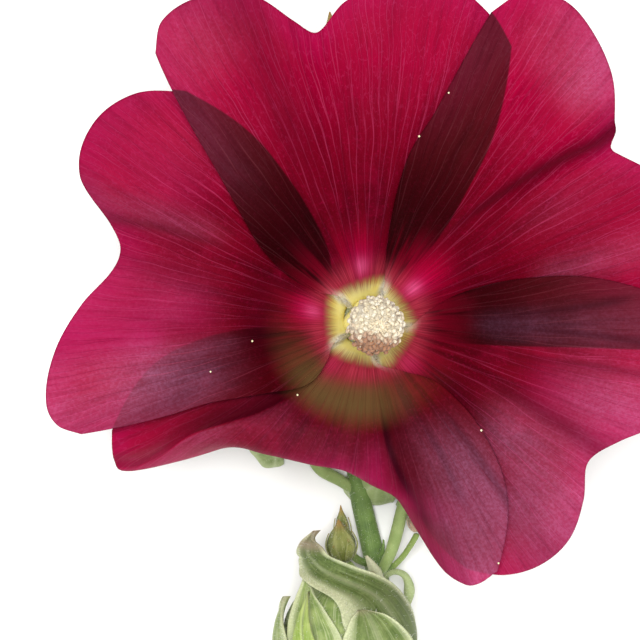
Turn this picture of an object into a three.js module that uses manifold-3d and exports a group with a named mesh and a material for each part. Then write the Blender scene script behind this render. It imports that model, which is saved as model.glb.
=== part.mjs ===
// A single hollyhock flower, picked with the length of stalk that carries it, lying face up.
//
// The bloom has five broad petals that overlap like the blades of a fan, each one over its
// neighbour on the counter-clockwise side. In its eye stands the staminal column with its ball of
// anthers. Behind the petals lie the five-lobed calyx and, outside that, the seven-lobed epicalyx.
// The stalk lies on the surface. It carries two small leaves, a withered calyx closed over a young
// fruit, a bud beside it, a tiny dried bud, a hooked stipule and three green buds at its tip.
//
// Units are millimetres and +Z is up. The origin is the flat spot on the underside of the stalk on
// which the flower rests, straight below the middle of the bloom. +Y runs along the stalk to its tip.

import * as THREE from "three";
import { mergeVertices } from "three/addons/utils/BufferGeometryUtils.js";
import Module from "manifold-3d";

const wasm = await Module();
wasm.setup();

// ---------------------------------------------------------------- driving dimensions

const BLOOM_HEIGHT = 19; // foot of the petals above the surface
const CLAW_RADIUS = 4.2; // ring on which the five petals stand
const GAP = 0.3; // clearance between pieces that touch on the real flower

const THROAT_SLOPE = 68; // degrees: how steeply a petal leaves its foot
const BLADE_SLOPE = 2; // degrees: what is left of that slope far out
const THROAT_LENGTH = 20; // how fast the throat opens into the blade
const RIM_DROOP = 14; // degrees: the blade bends back towards its rim

// The lowest petal is folded down in its middle, as if over a table's edge.
// Each pair of values is for the clockwise and for the counter-clockwise side of its middle.
const FOLD = {
  at: 253, turn: 104, width: 14, full: [26, 22], none: [50, 39], reach: [25, 23], widen: [8.5, 8],
};

const PETAL_THICKNESS = 0.7;
const CLAW_SIDE = [[0, 29], [3.5, 31], [6.5, 37]]; // [reach, half angle] that all petals share
const SIDE_REACHES = [10, 15, 22, 30, 38]; // reaches at which each petal's side angles are given

// Each petal: the angle of its foot, the angles from there to its two side edges at SIDE_REACHES
// and at the corner, and its rim as [share of the way across, reach]. Angles run counter-clockwise.
const PETALS = [
  {
    name: "petal_1", axis: 173, crease: { at: 161, depth: 1.5 }, grid: [22, 11],
    right: { angles: [-46, -54, -55, -53.5, -51], corner: [49.5, -44.5] },
    left: { angles: [44, 48.5, 42, 34, 31.5], corner: [51.5, 28] },
    rim: [
      [0.1, 55], [0.22, 57], [0.34, 54.5], [0.42, 47], [0.48, 44],
      [0.56, 44.6], [0.66, 48.5], [0.78, 52.8], [0.9, 55.4], [0.96, 54.6],
    ],
  },
  {
    name: "petal_2", axis: 101, crease: { at: 99.5, depth: 1.1 }, grid: [22, 11],
    right: { angles: [-44, -50.5, -49.5, -47, -44.5], corner: [51.5, -38] },
    left: { angles: [47, 52, 51.5, 44.5, 36.5], corner: [57, 27] },
    rim: [
      [0.1, 55.5], [0.21, 58], [0.34, 57.5], [0.48, 54], [0.57, 49.5],
      [0.63, 52], [0.71, 57.5], [0.83, 61], [0.94, 60.6],
    ],
  },
  {
    name: "petal_3", axis: 29, crease: { at: 36.5, depth: 2.2 }, grid: [22, 11],
    right: { angles: [-41, -42, -39.5, -37, -35.5], corner: [47, -34.5] },
    left: { angles: [44, 48.3, 49.4, 48, 43.8], corner: [55, 39.8] },
    rim: [
      [0.1, 54], [0.22, 56.2], [0.33, 56], [0.44, 53.8], [0.53, 50.3], [0.565, 49.8],
      [0.61, 52.5], [0.7, 57], [0.8, 60.5], [0.87, 61.6], [0.95, 59.8],
    ],
  },
  {
    name: "petal_4", axis: 317, crease: { at: 328, depth: 1.6 }, grid: [22, 11],
    right: { angles: [-41, -41.5, -39.5, -34.5, -30.5], corner: [44.5, -25.5] },
    left: { angles: [52, 60, 61, 58.5, 55], corner: [51.5, 46.5] },
    rim: [
      [0.09, 47.8], [0.19, 49.5], [0.29, 49.2], [0.4, 46.5], [0.5, 43.6],
      [0.6, 46.3], [0.7, 51.8], [0.8, 55.3], [0.88, 55.8], [0.95, 53.8],
    ],
  },
  {
    name: "petal_5", axis: 245, crease: { at: 249, depth: 0 }, grid: [36, 16],
    right: { angles: [-53, -62, -62.5, -59.5, -54], corner: [47, -42.5] },
    left: { angles: [57, 72, 73.5, 69.5, 63], corner: [46.5, 52] },
    rim: [
      [0.04, 48.5], [0.09, 50.3], [0.15, 46], [0.25, 45], [0.4, 46],
      [0.5, 43], [0.63, 45], [0.76, 43.5], [0.86, 42.4], [0.93, 46],
    ],
  },
];

const CALYX = { lobes: 5, first: 65, notch: 9.5, tip: 24, lift: -1.7, deepen: 1.3, thickness: 0.8 };
const EPICALYX = { lobes: 7, first: 12, notch: 5.5, tip: 16, lift: -2.9, deepen: 2.6, thickness: 0.8 };

const COLUMN = { foot: -0.75, footRadius: 3.5, neck: 6, neckRadius: 1.9, top: 10.2, topRadius: 1.7 };
const ANTHERS = { base: 10.5, top: 19, coreRadius: 3.6, count: 32, size: 1.1, lean: 4 };

// Centreline of the stalk from its cut end to its tip, and its radius at those points.
const STALK_PATH = [
  [6, -84, 2.3], [4.4, -62, 2.1], [1.9, -43, 1.85], [-1.4, -27, 1.6],
  [-0.9, -12, 1.55], [0, 0, 1.55], [-2.2, 20, 1.5], [-4.9, 42, 2.6],
];
const STALK_RADIUS = [2.4, 2.2, 2, 1.8, 1.75, 1.75, 1.6, 1.1];

const UP = new THREE.Vector3(0, 0, 1);

// ---------------------------------------------------------------- small helpers

const radians = THREE.MathUtils.degToRad;

function vector([x, y, z]) {
  return new THREE.Vector3(x, y, z);
}

function smoothStep(low, high, x) {
  return THREE.MathUtils.smoothstep(x, low, high);
}

// Degrees from one angle to another by the shorter way round.
function turnBetween(from, to) {
  return ((to - from + 540) % 360) - 180;
}

// A smooth curve through [x, y] pairs, read at x.
function curveThrough(pairs) {
  const last = pairs.length - 1;
  const slope = (i) => {
    const a = pairs[Math.max(i - 1, 0)];
    const b = pairs[Math.min(i + 1, last)];
    return (b[1] - a[1]) / (b[0] - a[0]);
  };
  return (x) => {
    const clamped = THREE.MathUtils.clamp(x, pairs[0][0], pairs[last][0]);
    let i = 0;
    while (i < last - 1 && pairs[i + 1][0] < clamped) i += 1;
    const [x0, y0] = pairs[i];
    const [x1, y1] = pairs[i + 1];
    const width = x1 - x0;
    const t = (clamped - x0) / width;
    const rise = (2 * t ** 3 - 3 * t ** 2 + 1) * y0 + (3 * t ** 2 - 2 * t ** 3) * y1;
    return rise + width * ((t ** 3 - 2 * t ** 2 + t) * slope(i) + (t ** 3 - t ** 2) * slope(i + 1));
  };
}

// ---------------------------------------------------------------- closed meshes from grids

// A geometry from points and faces, turned so that its faces point outwards.
function closedGeometry(points, faces) {
  let volume = 0;
  for (const [a, b, c] of faces) {
    volume += points[a].dot(new THREE.Vector3().crossVectors(points[b], points[c]));
  }
  const outward = volume < 0 ? faces.map(([a, b, c]) => [a, c, b]) : faces;
  const geometry = new THREE.BufferGeometry().setFromPoints(points);
  geometry.setIndex(outward.flat());
  geometry.computeVertexNormals();
  return geometry;
}

// The two triangles of a grid cell whose corners are a, b (next column), c (next row) and d.
function cell(a, b, c, d) {
  return [[a, c, b], [b, c, d]];
}

// A thin blade: point(u, v, side) gives both faces, with u and v from 0 to 1 and side +1 or -1.
function bladeGeometry(point, columns, rows) {
  const points = [];
  const index = (side, i, j) => (side > 0 ? 0 : columns * rows) + j * columns + i;
  for (const side of [1, -1]) {
    for (let j = 0; j < rows; j += 1) {
      for (let i = 0; i < columns; i += 1) {
        points.push(point(i / (columns - 1), j / (rows - 1), side));
      }
    }
  }
  const faces = [];
  for (let j = 0; j < rows - 1; j += 1) {
    for (let i = 0; i < columns - 1; i += 1) {
      const corners = [[i, j], [i + 1, j], [i, j + 1], [i + 1, j + 1]];
      faces.push(...cell(...corners.map(([a, b]) => index(1, a, b))));
      faces.push(...cell(...corners.map(([a, b]) => index(-1, a, b))).map(([a, b, c]) => [a, c, b]));
    }
  }
  const edge = (line) => {
    for (let k = 0; k < line.length - 1; k += 1) {
      const [a, b] = [line[k], line[k + 1]];
      faces.push(...cell(index(1, ...b), index(1, ...a), index(-1, ...b), index(-1, ...a)));
    }
  };
  const along = (n, place) => Array.from({ length: n }, (_, k) => place(k));
  edge(along(columns, (i) => [i, 0]));
  edge(along(rows, (j) => [columns - 1, j]));
  edge(along(columns, (i) => [columns - 1 - i, rows - 1]));
  edge(along(rows, (j) => [0, rows - 1 - j]));
  return closedGeometry(points, faces);
}

// A thin cup or fan round a pole: point(angle share, v, side), with v = 0 at the pole. A cup goes
// all the way round, and a fan is closed along its first and last column.
function fanGeometry(point, columns, rows, goesRound) {
  const points = [];
  const span = goesRound ? columns : columns - 1;
  for (const side of [1, -1]) {
    points.push(point(0, 0, side));
    for (let j = 1; j < rows; j += 1) {
      for (let i = 0; i < columns; i += 1) points.push(point(i / span, j / (rows - 1), side));
    }
  }
  const half = 1 + columns * (rows - 1);
  const index = (side, i, j) => (side > 0 ? 0 : half) + (j === 0 ? 0 : 1 + (j - 1) * columns + (i % columns));
  const faces = [];
  const both = (a, b, c) => {
    faces.push([a, b, c].map(([i, j]) => index(1, i, j)));
    faces.push([a, c, b].map(([i, j]) => index(-1, i, j)));
  };
  for (let i = 0; i < span; i += 1) {
    both([0, 0], [i, 1], [i + 1, 1]);
    for (let j = 1; j < rows - 1; j += 1) {
      both([i, j], [i, j + 1], [i + 1, j]);
      both([i + 1, j], [i, j + 1], [i + 1, j + 1]);
    }
    const [a, b] = [[i, rows - 1], [i + 1, rows - 1]];
    faces.push([index(1, ...a), index(-1, ...a), index(1, ...b)]);
    faces.push([index(1, ...b), index(-1, ...a), index(-1, ...b)]);
  }
  for (const [i, order] of goesRound ? [] : [[0, [0, 1, 2]], [columns - 1, [0, 2, 1]]]) {
    for (let j = 0; j < rows - 1; j += 1) {
      const corners = [index(1, i, j), index(1, i, j + 1), index(-1, i, j), index(-1, i, j + 1)];
      const wall = [[corners[0], corners[2], corners[1]], [corners[1], corners[2], corners[3]]];
      faces.push(...wall.map((face) => order.map((k) => face[k])));
    }
  }
  return closedGeometry(points, faces);
}

// A round body between two poles: point(angle share, v), with v = 0 and v = 1 at the poles.
function bodyGeometry(point, columns, rows) {
  const points = [point(0, 0), point(0, 1)];
  for (let j = 1; j < rows; j += 1) {
    for (let i = 0; i < columns; i += 1) points.push(point(i / columns, j / rows));
  }
  const index = (i, j) => 2 + (j - 1) * columns + (i % columns);
  const faces = [];
  for (let i = 0; i < columns; i += 1) {
    faces.push([0, index(i + 1, 1), index(i, 1)]);
    faces.push([1, index(i, rows - 1), index(i + 1, rows - 1)]);
    for (let j = 1; j < rows - 1; j += 1) {
      const corners = cell(index(i, j), index(i + 1, j), index(i, j + 1), index(i + 1, j + 1));
      faces.push(...corners.map(([a, b, c]) => [a, c, b]));
    }
  }
  return closedGeometry(points, faces);
}

// A round tube along a smooth path, with a radius for each of its points.
function tubeGeometry(path, radii, sides, rings) {
  const curve = new THREE.CatmullRomCurve3(path.map(vector));
  const frames = curve.computeFrenetFrames(rings, false);
  const radiusAt = curveThrough(radii.map((radius, k) => [k / (radii.length - 1), radius]));
  return bodyGeometry((share, v) => {
    const ring = THREE.MathUtils.clamp(Math.round(v * (rings + 2)) - 1, 0, rings);
    const centre = curve.getPoint(ring / rings);
    if (v === 0 || v === 1) return centre;
    const angle = share * 2 * Math.PI;
    const radius = radiusAt(ring / rings);
    return centre
      .addScaledVector(frames.normals[ring], radius * Math.cos(angle))
      .addScaledVector(frames.binormals[ring], radius * Math.sin(angle));
  }, sides, rings + 2);
}

// ---------------------------------------------------------------- joining and cutting

function solidOf(geometry) {
  const bare = new THREE.BufferGeometry().setAttribute("position", geometry.getAttribute("position"));
  bare.setIndex(geometry.getIndex());
  const merged = mergeVertices(bare, 1e-4);
  const vertProperties = merged.attributes.position.array;
  const triVerts = new Uint32Array(merged.index.array);
  return new wasm.Manifold(new wasm.Mesh({ numProp: 3, vertProperties, triVerts }));
}

function geometryOf(solid) {
  const { vertProperties, triVerts } = solid.getMesh();
  const geometry = new THREE.BufferGeometry();
  geometry.setAttribute("position", new THREE.BufferAttribute(new Float32Array(vertProperties), 3));
  geometry.setIndex(new THREE.BufferAttribute(new Uint32Array(triVerts), 1));
  geometry.computeVertexNormals();
  return geometry;
}

function fused(geometries) {
  return geometryOf(geometries.map(solidOf).reduce((whole, piece) => whole.add(piece)));
}

// A geometry less its cutters, as one body: loose scraps are dropped.
function cutBy(geometry, cutters) {
  const left = cutters.map(solidOf).reduce((whole, cutter) => whole.subtract(cutter), solidOf(geometry));
  const bodies = left.decompose().sort((a, b) => b.volume() - a.volume());
  return geometryOf(bodies[0]);
}

// ---------------------------------------------------------------- the surface of the corolla

// How far the folded petal's bend is complete at an angle: 1 in its middle, 0 outside it.
function foldShare(angle) {
  const turn = turnBetween(FOLD.at, angle);
  const side = turn < 0 ? 0 : 1;
  return 1 - smoothStep(FOLD.full[side], FOLD.none[side], Math.abs(turn));
}

// Slope in degrees of the corolla at a reach, measured along it from the foot, and an angle.
function slopeAt(reach, angle) {
  const funnel = BLADE_SLOPE + (THROAT_SLOPE - BLADE_SLOPE) * Math.exp(-reach / THROAT_LENGTH);
  const turn = turnBetween(FOLD.at, angle);
  const side = turn < 0 ? 0 : 1;
  const middle = FOLD.reach[side] + FOLD.widen[side] * (turn / 40) ** 2;
  const bent = smoothStep(middle - FOLD.width / 2, middle + FOLD.width / 2, reach);
  return funnel - RIM_DROOP * smoothStep(30, 70, reach) - FOLD.turn * foldShare(angle) * bent;
}

// The corolla's line at an angle, as radius, height and slope at a reach.
function corollaAt(reach, angle) {
  const steps = Math.max(1, Math.ceil(reach / 0.5));
  const length = reach / steps;
  let radius = CLAW_RADIUS;
  let height = 0;
  for (let k = 0; k < steps; k += 1) {
    const slope = radians(slopeAt((k + 0.5) * length, angle));
    radius += length * Math.cos(slope);
    height += length * Math.sin(slope);
  }
  return { radius, height, slope: radians(slopeAt(reach, angle)) };
}

// A point of the bloom at a reach and an angle, lifted off the corolla towards its open side.
function bloomPoint(reach, angle, lift) {
  const { radius, height, slope } = corollaAt(reach, angle);
  const out = radius - lift * Math.sin(slope);
  const turn = radians(angle);
  return new THREE.Vector3(out * Math.cos(turn), out * Math.sin(turn), height + lift * Math.cos(slope));
}

// Waves that all petals share, so that overlapping petals wave together.
function rippleAt(reach, angle) {
  const turn = radians(angle);
  const waves = Math.sin(11 * turn + 0.6) + 0.6 * Math.sin(17 * turn + 2.1) + 0.4 * Math.sin(7 * turn);
  return 0.55 * waves * smoothStep(20, 58, reach);
}

// Half of the spacing between two overlapping petals.
function overlapHalf(reach) {
  return 0.45 + 0.4 * smoothStep(2, 7, reach) + 0.5 * smoothStep(15, 50, reach);
}

// ---------------------------------------------------------------- the bloom

function petalGeometry({ axis, crease, right, left, rim, grid }) {
  const sideCurve = ({ angles, corner }) => {
    const sign = Math.sign(angles[0]);
    const claw = CLAW_SIDE.map(([reach, angle]) => [reach, sign * angle]);
    return curveThrough([...claw, ...SIDE_REACHES.map((reach, k) => [reach, angles[k]]), corner]);
  };
  const rightAngle = sideCurve(right);
  const leftAngle = sideCurve(left);
  const rimReach = curveThrough([[0, right.corner[0]], ...rim, [1, left.corner[0]]]);
  const creaseTurn = turnBetween(axis, crease.at);
  return bladeGeometry((u, v, side) => {
    const reach = v * rimReach(u);
    const turn = (1 - u) * rightAngle(v * right.corner[0]) + u * leftAngle(v * left.corner[0]);
    const spiral = (overlapHalf(reach) * turn) / 36;
    const valley = crease.depth * Math.exp(-(((turn - creaseTurn) / 7) ** 2)) * smoothStep(14, 44, reach);
    const lift = spiral + rippleAt(reach, axis + turn) - valley + (side * PETAL_THICKNESS) / 2;
    return bloomPoint(reach, axis + turn, lift);
  }, ...grid);
}

// A lobed cup behind the petals: a floor from the pole to the foot of the corolla, then lobes.
function lobedCupGeometry({ lobes, first, notch, tip, lift, deepen, thickness }, perLobe, rows) {
  const floorRows = 3;
  const lobeReach = (angle) => {
    const across = Math.abs(turnBetween(first, angle) % (360 / lobes));
    const offset = Math.min(across, 360 / lobes - across) / (180 / lobes);
    return notch + (tip - notch) * (1 - offset ** 1.25);
  };
  return fanGeometry((share, v, side) => {
    const angle = first + share * 360;
    const row = Math.round(v * (rows - 1));
    const face = lift + (side * thickness) / 2;
    if (row < floorRows) {
      const edge = bloomPoint(0, angle, face);
      const bow = (row / floorRows) * (Math.PI / 2);
      const out = Math.hypot(edge.x, edge.y) * Math.sin(bow);
      const height = face + (edge.z - face) * (1 - Math.cos(bow));
      return new THREE.Vector3(out * Math.cos(radians(angle)), out * Math.sin(radians(angle)), height);
    }
    const reach = (lobeReach(angle) * (row - floorRows)) / (rows - 1 - floorRows);
    return bloomPoint(reach, angle, face - deepen * smoothStep(2, 12, reach));
  }, lobes * perLobe, rows, true);
}

function columnGeometry() {
  const { foot, footRadius, neck, neckRadius, top, topRadius } = COLUMN;
  const profile = [
    [0, foot], [footRadius, foot], [footRadius, foot + 1.6], [footRadius * 0.8, foot + 3.2],
    [neckRadius, neck], [topRadius, top], [0, top],
  ];
  return new THREE.LatheGeometry(profile.map(([r, z]) => new THREE.Vector2(r, z)), 14).rotateX(Math.PI / 2);
}

// The ball of anthers: small kidney-like grains set in a spiral all over a core.
function anthersGeometry() {
  const { base, top, coreRadius, count, size } = ANTHERS;
  const height = top - base;
  const outline = curveThrough([[0, 0.48], [0.2, 0.86], [0.45, 1], [0.7, 0.86], [0.88, 0.52], [1, 0.06]]);
  const rings = 9;
  const profile = Array.from({ length: rings + 1 }, (_, k) => {
    return new THREE.Vector2(coreRadius * outline(k / rings), base + (height * k) / rings);
  });
  const core = [new THREE.Vector2(0, base), ...profile, new THREE.Vector2(0, top)];
  const pieces = [new THREE.LatheGeometry(core, 12).rotateX(Math.PI / 2)];
  const goldenAngle = Math.PI * (3 - Math.sqrt(5));
  for (let k = 0; k < count; k += 1) {
    const share = 0.1 + (0.9 * (k + 0.5)) / count;
    const radius = coreRadius * outline(share);
    const grain = new THREE.IcosahedronGeometry(size, 0);
    grain.scale(1.15, 0.8, 1).rotateZ(k * 1.7).rotateX(k * 0.9);
    const angle = k * goldenAngle;
    grain.translate(radius * Math.cos(angle), radius * Math.sin(angle), base + height * share);
    pieces.push(grain);
  }
  return fused(pieces);
}

// ---------------------------------------------------------------- stalk and its side shoots

// Side shoots of the stalk, each from inside the stalk to the piece that it carries.
const SHOOTS = {
  bloom: {
    path: [[-1.2, -20, 2], [-1.2, -14, 5.6], [-0.6, -6, 9.2], [0, 0, 13], [0, 0, 15.4]],
    radii: [1.5, 1.5, 1.6, 2, 3.1],
  },
  fruit: {
    path: [[5.4, -77, 2.4], [4.6, -78.4, 8.4], [0.6, -77, 13.8], [-2.6, -74, 15.7], [-2.9, -70.6, 15.9]],
    radii: [1.5, 1.5, 1.5, 1.7, 2.9],
  },
  bud: { path: [[2, -45, 2], [-0.8, -44.4, 5.6], [-3.4, -42.2, 7.9]], radii: [1.1, 0.8, 1.2] },
  smallBud: { path: [[1.6, -42.6, 2], [-1.2, -41.6, 4.2], [-3.4, -39.6, 5.4]], radii: [0.9, 0.7, 0.8] },
  driedBud: {
    path: [[2.6, -45, 2], [6.2, -41.4, 4], [7.9, -38.8, 5.2], [9, -36.8, 5.6]],
    radii: [0.9, 0.6, 0.55, 0.6],
  },
  stub: { path: [[2.2, -42, 2.6], [3, -39.8, 4.4], [3.1, -37.8, 4.9]], radii: [0.6, 0.5, 0.2] },
  tipLeft: { path: [[-3.1, 28, 1.8], [-7, 32.6, 2.9], [-9.6, 36, 3.1]], radii: [0.8, 0.8, 1] },
  tipRight: { path: [[-2.7, 25, 1.8], [0.8, 29.6, 2.9], [2.7, 33, 3.1]], radii: [0.8, 0.8, 1] },
};

// The stalk and its shoots as tubes, grown by an extra radius where they serve as cutters.
function stalkTubes(extra) {
  const grown = (radii) => radii.map((radius) => radius + extra);
  const shoots = Object.values(SHOOTS).map(({ path, radii }) => tubeGeometry(path, grown(radii), 8, 5));
  return [tubeGeometry(STALK_PATH, grown(STALK_RADIUS), 12, 15), ...shoots];
}

function belowSurface() {
  return new THREE.BoxGeometry(200, 300, 20).translate(0, 0, -10);
}

function stalkGeometry() {
  return cutBy(fused(stalkTubes(0)), [belowSurface()]);
}

// Leaf-like scales at the leaf joints, each a tapering shoot that starts inside the stalk.
const STIPULES = {
  stipule_hooked: {
    path: [
      [2.6, -45.2, 3.2], [3.9, -43.9, 6], [5.2, -43.3, 7],
      [6.7, -43.9, 7.2], [7.5, -45.8, 7.2], [7.3, -49.4, 6.8],
    ],
    radii: [0.6, 0.45, 0.5, 0.7, 0.95, 0.35],
  },
  stipule_left: {
    path: [[2.4, -47, 2.6], [2.4, -45.6, 5.4], [1.4, -43, 7.6], [0, -40.4, 8.4]],
    radii: [0.8, 1, 1.1, 0.25],
  },
};

function stipuleGeometry({ path, radii }) {
  return cutBy(tubeGeometry(path, radii, 8, 9), stalkTubes(GAP));
}

// ---------------------------------------------------------------- leaves

// Each leaf: its petiole, the way its blade points, its length and how high it arches.
const LEAVES = {
  leaf_left: {
    petiole: [
      [-1.2, -30, 2.4], [-4.8, -27.7, 3.6], [-8.2, -25.6, 4.2], [-11.4, -19.6, 4.4], [-12.6, -13.4, 4.4],
    ],
    heading: 118, length: 18.5, arch: 1.2,
  },
  leaf_right: {
    petiole: [[2.4, -44.6, 2.6], [4.6, -39.6, 4.7], [6.4, -32.6, 5], [8.4, -24.6, 4.8]],
    heading: 66, length: 18, arch: 1.2,
  },
};
const LEAF_THICKNESS = 0.7;
const LEAF_SPREAD = 152; // degrees to each side of its heading that a blade fans out

// How far a leaf reaches at an angle from its heading: five shallow lobes, shorter to the back.
function leafReach(turn, length) {
  const lobe = 0.86 + 0.14 * Math.cos(radians(5 * turn));
  return length * lobe * (1 - 0.38 * Math.abs(turn / LEAF_SPREAD) ** 1.6);
}

function leafGeometry({ petiole, heading, length, arch }) {
  const [x0, y0, z0] = petiole[petiole.length - 1];
  const blade = fanGeometry((share, v, side) => {
    const turn = (share * 2 - 1) * LEAF_SPREAD;
    const reach = v * leafReach(turn, length);
    const angle = radians(heading + turn);
    const pleat = 0.4 * Math.cos(radians(5 * turn)) * v;
    const height = z0 + arch * Math.sin(Math.PI * v) - (z0 - LEAF_THICKNESS) * v ** 1.5 - pleat;
    const [x, y] = [x0 + reach * Math.cos(angle), y0 + reach * Math.sin(angle)];
    return new THREE.Vector3(x, y, height + (side * LEAF_THICKNESS) / 2);
  }, 26, 5, false);
  const stem = tubeGeometry(petiole, petiole.map(() => 0.85), 8, 7);
  return cutBy(fused([blade, stem]), [...stalkTubes(GAP), belowSurface()]);
}

// ---------------------------------------------------------------- buds

// A closed bud along +Z: five ribs, a pointed tip, and the pressed-on epicalyx round its lower half.
function budGeometry({ length, radius }) {
  const outline = curveThrough([[0, 0.3], [0.12, 0.72], [0.38, 1], [0.65, 0.74], [0.85, 0.28], [1, 0.05]]);
  return bodyGeometry((share, v) => {
    const turn = share * 2 * Math.PI;
    const ribs = 1 + 0.07 * Math.cos(5 * turn) * Math.sin(Math.PI * v);
    const leafed = v < 0.32 + 0.16 * Math.cos(6 * turn + 0.5) ? 0.09 : 0;
    const out = v === 0 || v === 1 ? 0 : radius * (outline(v) * ribs + leafed);
    return new THREE.Vector3(out * Math.cos(turn), out * Math.sin(turn), v * length);
  }, 15, 8);
}

const BUDS = {
  bud_side: { at: [-3.9, -41.2, 9.2], towards: [-0.12, 0.96, 0.2], length: 7.6, radius: 2.55 },
  bud_behind: { at: [-3.8, -39.2, 5.7], towards: [-0.08, 0.98, 0.16], length: 7.6, radius: 1.3 },
  bud_dried: { at: [8.9, -36.4, 5.75], towards: [-0.28, 0.95, 0.1], length: 4.2, radius: 0.95 },
  bud_tip: { at: [-5.05, 42.4, 2.75], towards: [-0.1, 0.99, 0.03], length: 12.4, radius: 2.6 },
  bud_tip_left: { at: [-9.85, 36.4, 3.2], towards: [-0.55, 0.83, 0], length: 9, radius: 2.3 },
  bud_tip_right: { at: [2.9, 33.4, 3.2], towards: [0.5, 0.86, 0], length: 9.6, radius: 2.4 },
};

// ---------------------------------------------------------------- withered calyx

// The withered calyx, closed over the young fruit. It is drawn along its own axis: heights run from
// its base to its tip, and angles run round the axis from straight up towards the right.
const FRUIT = { at: [-3.3, -67.9, 15.9], lean: 2.4 };
const SEPAL_THICKNESS = 0.8;
const FRUIT_RADIUS = [
  [0, 3.3], [4, 7.2], [9, 10], [13.5, 10.9], [18, 10.2], [21, 8.7], [24, 6.8], [27, 4.8], [28.5, 1.4],
]; // [height, radius]

// Each sepal: its left and right edge as [height, angle], and how far it lies off the fruit.
// The first one twists across the front from the right, and its tip stands out as a curved horn.
const SEPALS = [
  {
    left: [[0, 52], [6, 30], [12, 12], [18, 0], [22.5, -10], [25, -48], [27, -86], [30, -92], [33, -80]],
    right: [
      [0, 112], [6, 112], [12, 106], [18, 98], [23, 80],
      [25.5, 52], [27.2, 21], [29.2, -22], [31, -52], [33, -72],
    ],
    lift: 0.9,
    horn: [[0, 0], [25.5, 0], [27, 0.3], [28.5, 3.6], [29.5, 4.1], [31.3, 3.2], [33, 1.2]],
  },
  {
    left: [[0, -8], [8, -6], [15, -3], [19.3, 5], [20.6, 12]],
    right: [[0, 58], [8, 64], [14.3, 58], [17, 49], [19.7, 34], [20.6, 20]],
    lift: 1.7,
  },
  {
    left: [[0, -66], [8, -60], [16, -56], [22, -62], [26, -68]],
    right: [[0, -12], [8, 0], [16, -2], [21, -20], [24, -44], [26, -60]],
    lift: -0.1,
  },
  {
    left: [[0, -130], [8, -132], [15, -126], [19, -112], [22, -92]],
    right: [[0, -56], [8, -48], [15, -48], [19, -60], [22, -84]],
    lift: 0.9,
  },
  {
    left: [[0, 118], [8, 108], [16, 104], [21, 96], [25, 130]],
    right: [[0, 222], [8, 230], [16, 232], [21, 214], [25, 160]],
    lift: -0.1,
  },
];

function onFruit(height, angle, radius) {
  return new THREE.Vector3(radius * Math.sin(radians(angle)), -radius * Math.cos(radians(angle)), height);
}

// A sepal is thin where its tip stands free, and grown together with the fruit below.
function sepalGeometry({ left, right, lift, horn }) {
  const [leftAngle, rightAngle, body] = [left, right, FRUIT_RADIUS].map(curveThrough);
  const flare = horn ? curveThrough(horn) : () => 0;
  const top = left[left.length - 1][0];
  return bladeGeometry((u, v, side) => {
    const height = top * v ** 0.85;
    const angle = (1 - u) * leftAngle(height) + u * rightAngle(height);
    const curl = 0.7 * Math.abs(2 * u - 1) ** 3 * smoothStep(0.1, 0.5, v);
    const outside = body(height) + lift + curl + flare(height) + SEPAL_THICKNESS / 2;
    const free = smoothStep(0.5, 2.4, flare(height));
    const depth = SEPAL_THICKNESS + (1 - free) * (outside - SEPAL_THICKNESS - body(height) + 0.8);
    return onFruit(height, angle, side > 0 ? outside : outside - depth);
  }, 7, 10);
}

function witheredCalyxGeometry() {
  const body = curveThrough(FRUIT_RADIUS);
  const top = FRUIT_RADIUS[FRUIT_RADIUS.length - 1][0];
  const core = bodyGeometry((share, v) => {
    return onFruit(v * top, share * 360, v === 0 || v === 1 ? 0 : body(v * top));
  }, 15, 8);
  return fused([core, ...SEPALS.map(sepalGeometry)]);
}

// The seven narrow lobes of the epicalyx, pressed to the calyx; [angle, height] of each tip.
const EPICALYX_TIPS = [[-44, 22.5], [16, 9.5], [78, 11], [122, 10], [168, 12], [216, 10], [258, 13]];

function witheredEpicalyxGeometry() {
  const body = curveThrough(FRUIT_RADIUS);
  const perLobe = 4;
  const rows = 7;
  const spacing = 360 / EPICALYX_TIPS.length;
  const columns = EPICALYX_TIPS.length * perLobe;
  return fanGeometry((share, v, side) => {
    if (v === 0) return onFruit(-1.4 + side * 0.4, 0, 0);
    const place = share * EPICALYX_TIPS.length;
    const offset = place - Math.round(place);
    const lobe = Math.round(place) % EPICALYX_TIPS.length;
    const [tipAngle, tipHeight] = EPICALYX_TIPS[lobe];
    const reach = 3.6 + (tipHeight - 3.6) * (1 - Math.abs(2 * offset)) ** 1.2;
    const climb = Math.max(0, (v * (rows - 1) - 1) / (rows - 2));
    const height = climb * reach;
    const rootAngle = EPICALYX_TIPS[0][0] + 14 + lobe * spacing;
    const angle = rootAngle + offset * spacing + smoothStep(0, tipHeight, height) * (tipAngle - rootAngle);
    const sunk = 1 - smoothStep(0, 3, height);
    return onFruit(height - sunk * (1 - side * 0.4), angle, body(height) + 3.5 + side * 0.4 - 1.8 * sunk);
  }, columns, rows, true);
}

// ---------------------------------------------------------------- assembly

function material(color, roughness) {
  return new THREE.MeshStandardMaterial({ color, roughness, metalness: 0 });
}

const FINISH = {
  petal: material(0xa8103f, 0.62),
  column: material(0xd8cf86, 0.6),
  anthers: material(0xf2e3bd, 0.75),
  calyx: material(0x8fa45f, 0.8),
  stalk: material(0x6f9452, 0.75),
  leaf: material(0x7f9f58, 0.8),
  bud: material(0x87975a, 0.8),
};

function piece(name, geometry, finish) {
  const mesh = new THREE.Mesh(geometry, finish);
  mesh.name = name;
  return mesh;
}

// Sets a piece that was modelled along +Z at its place, pointing the way it grows.
function planted(mesh, at, towards) {
  mesh.quaternion.setFromUnitVectors(UP, vector(towards).normalize());
  mesh.position.copy(vector(at));
  return mesh;
}

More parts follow.
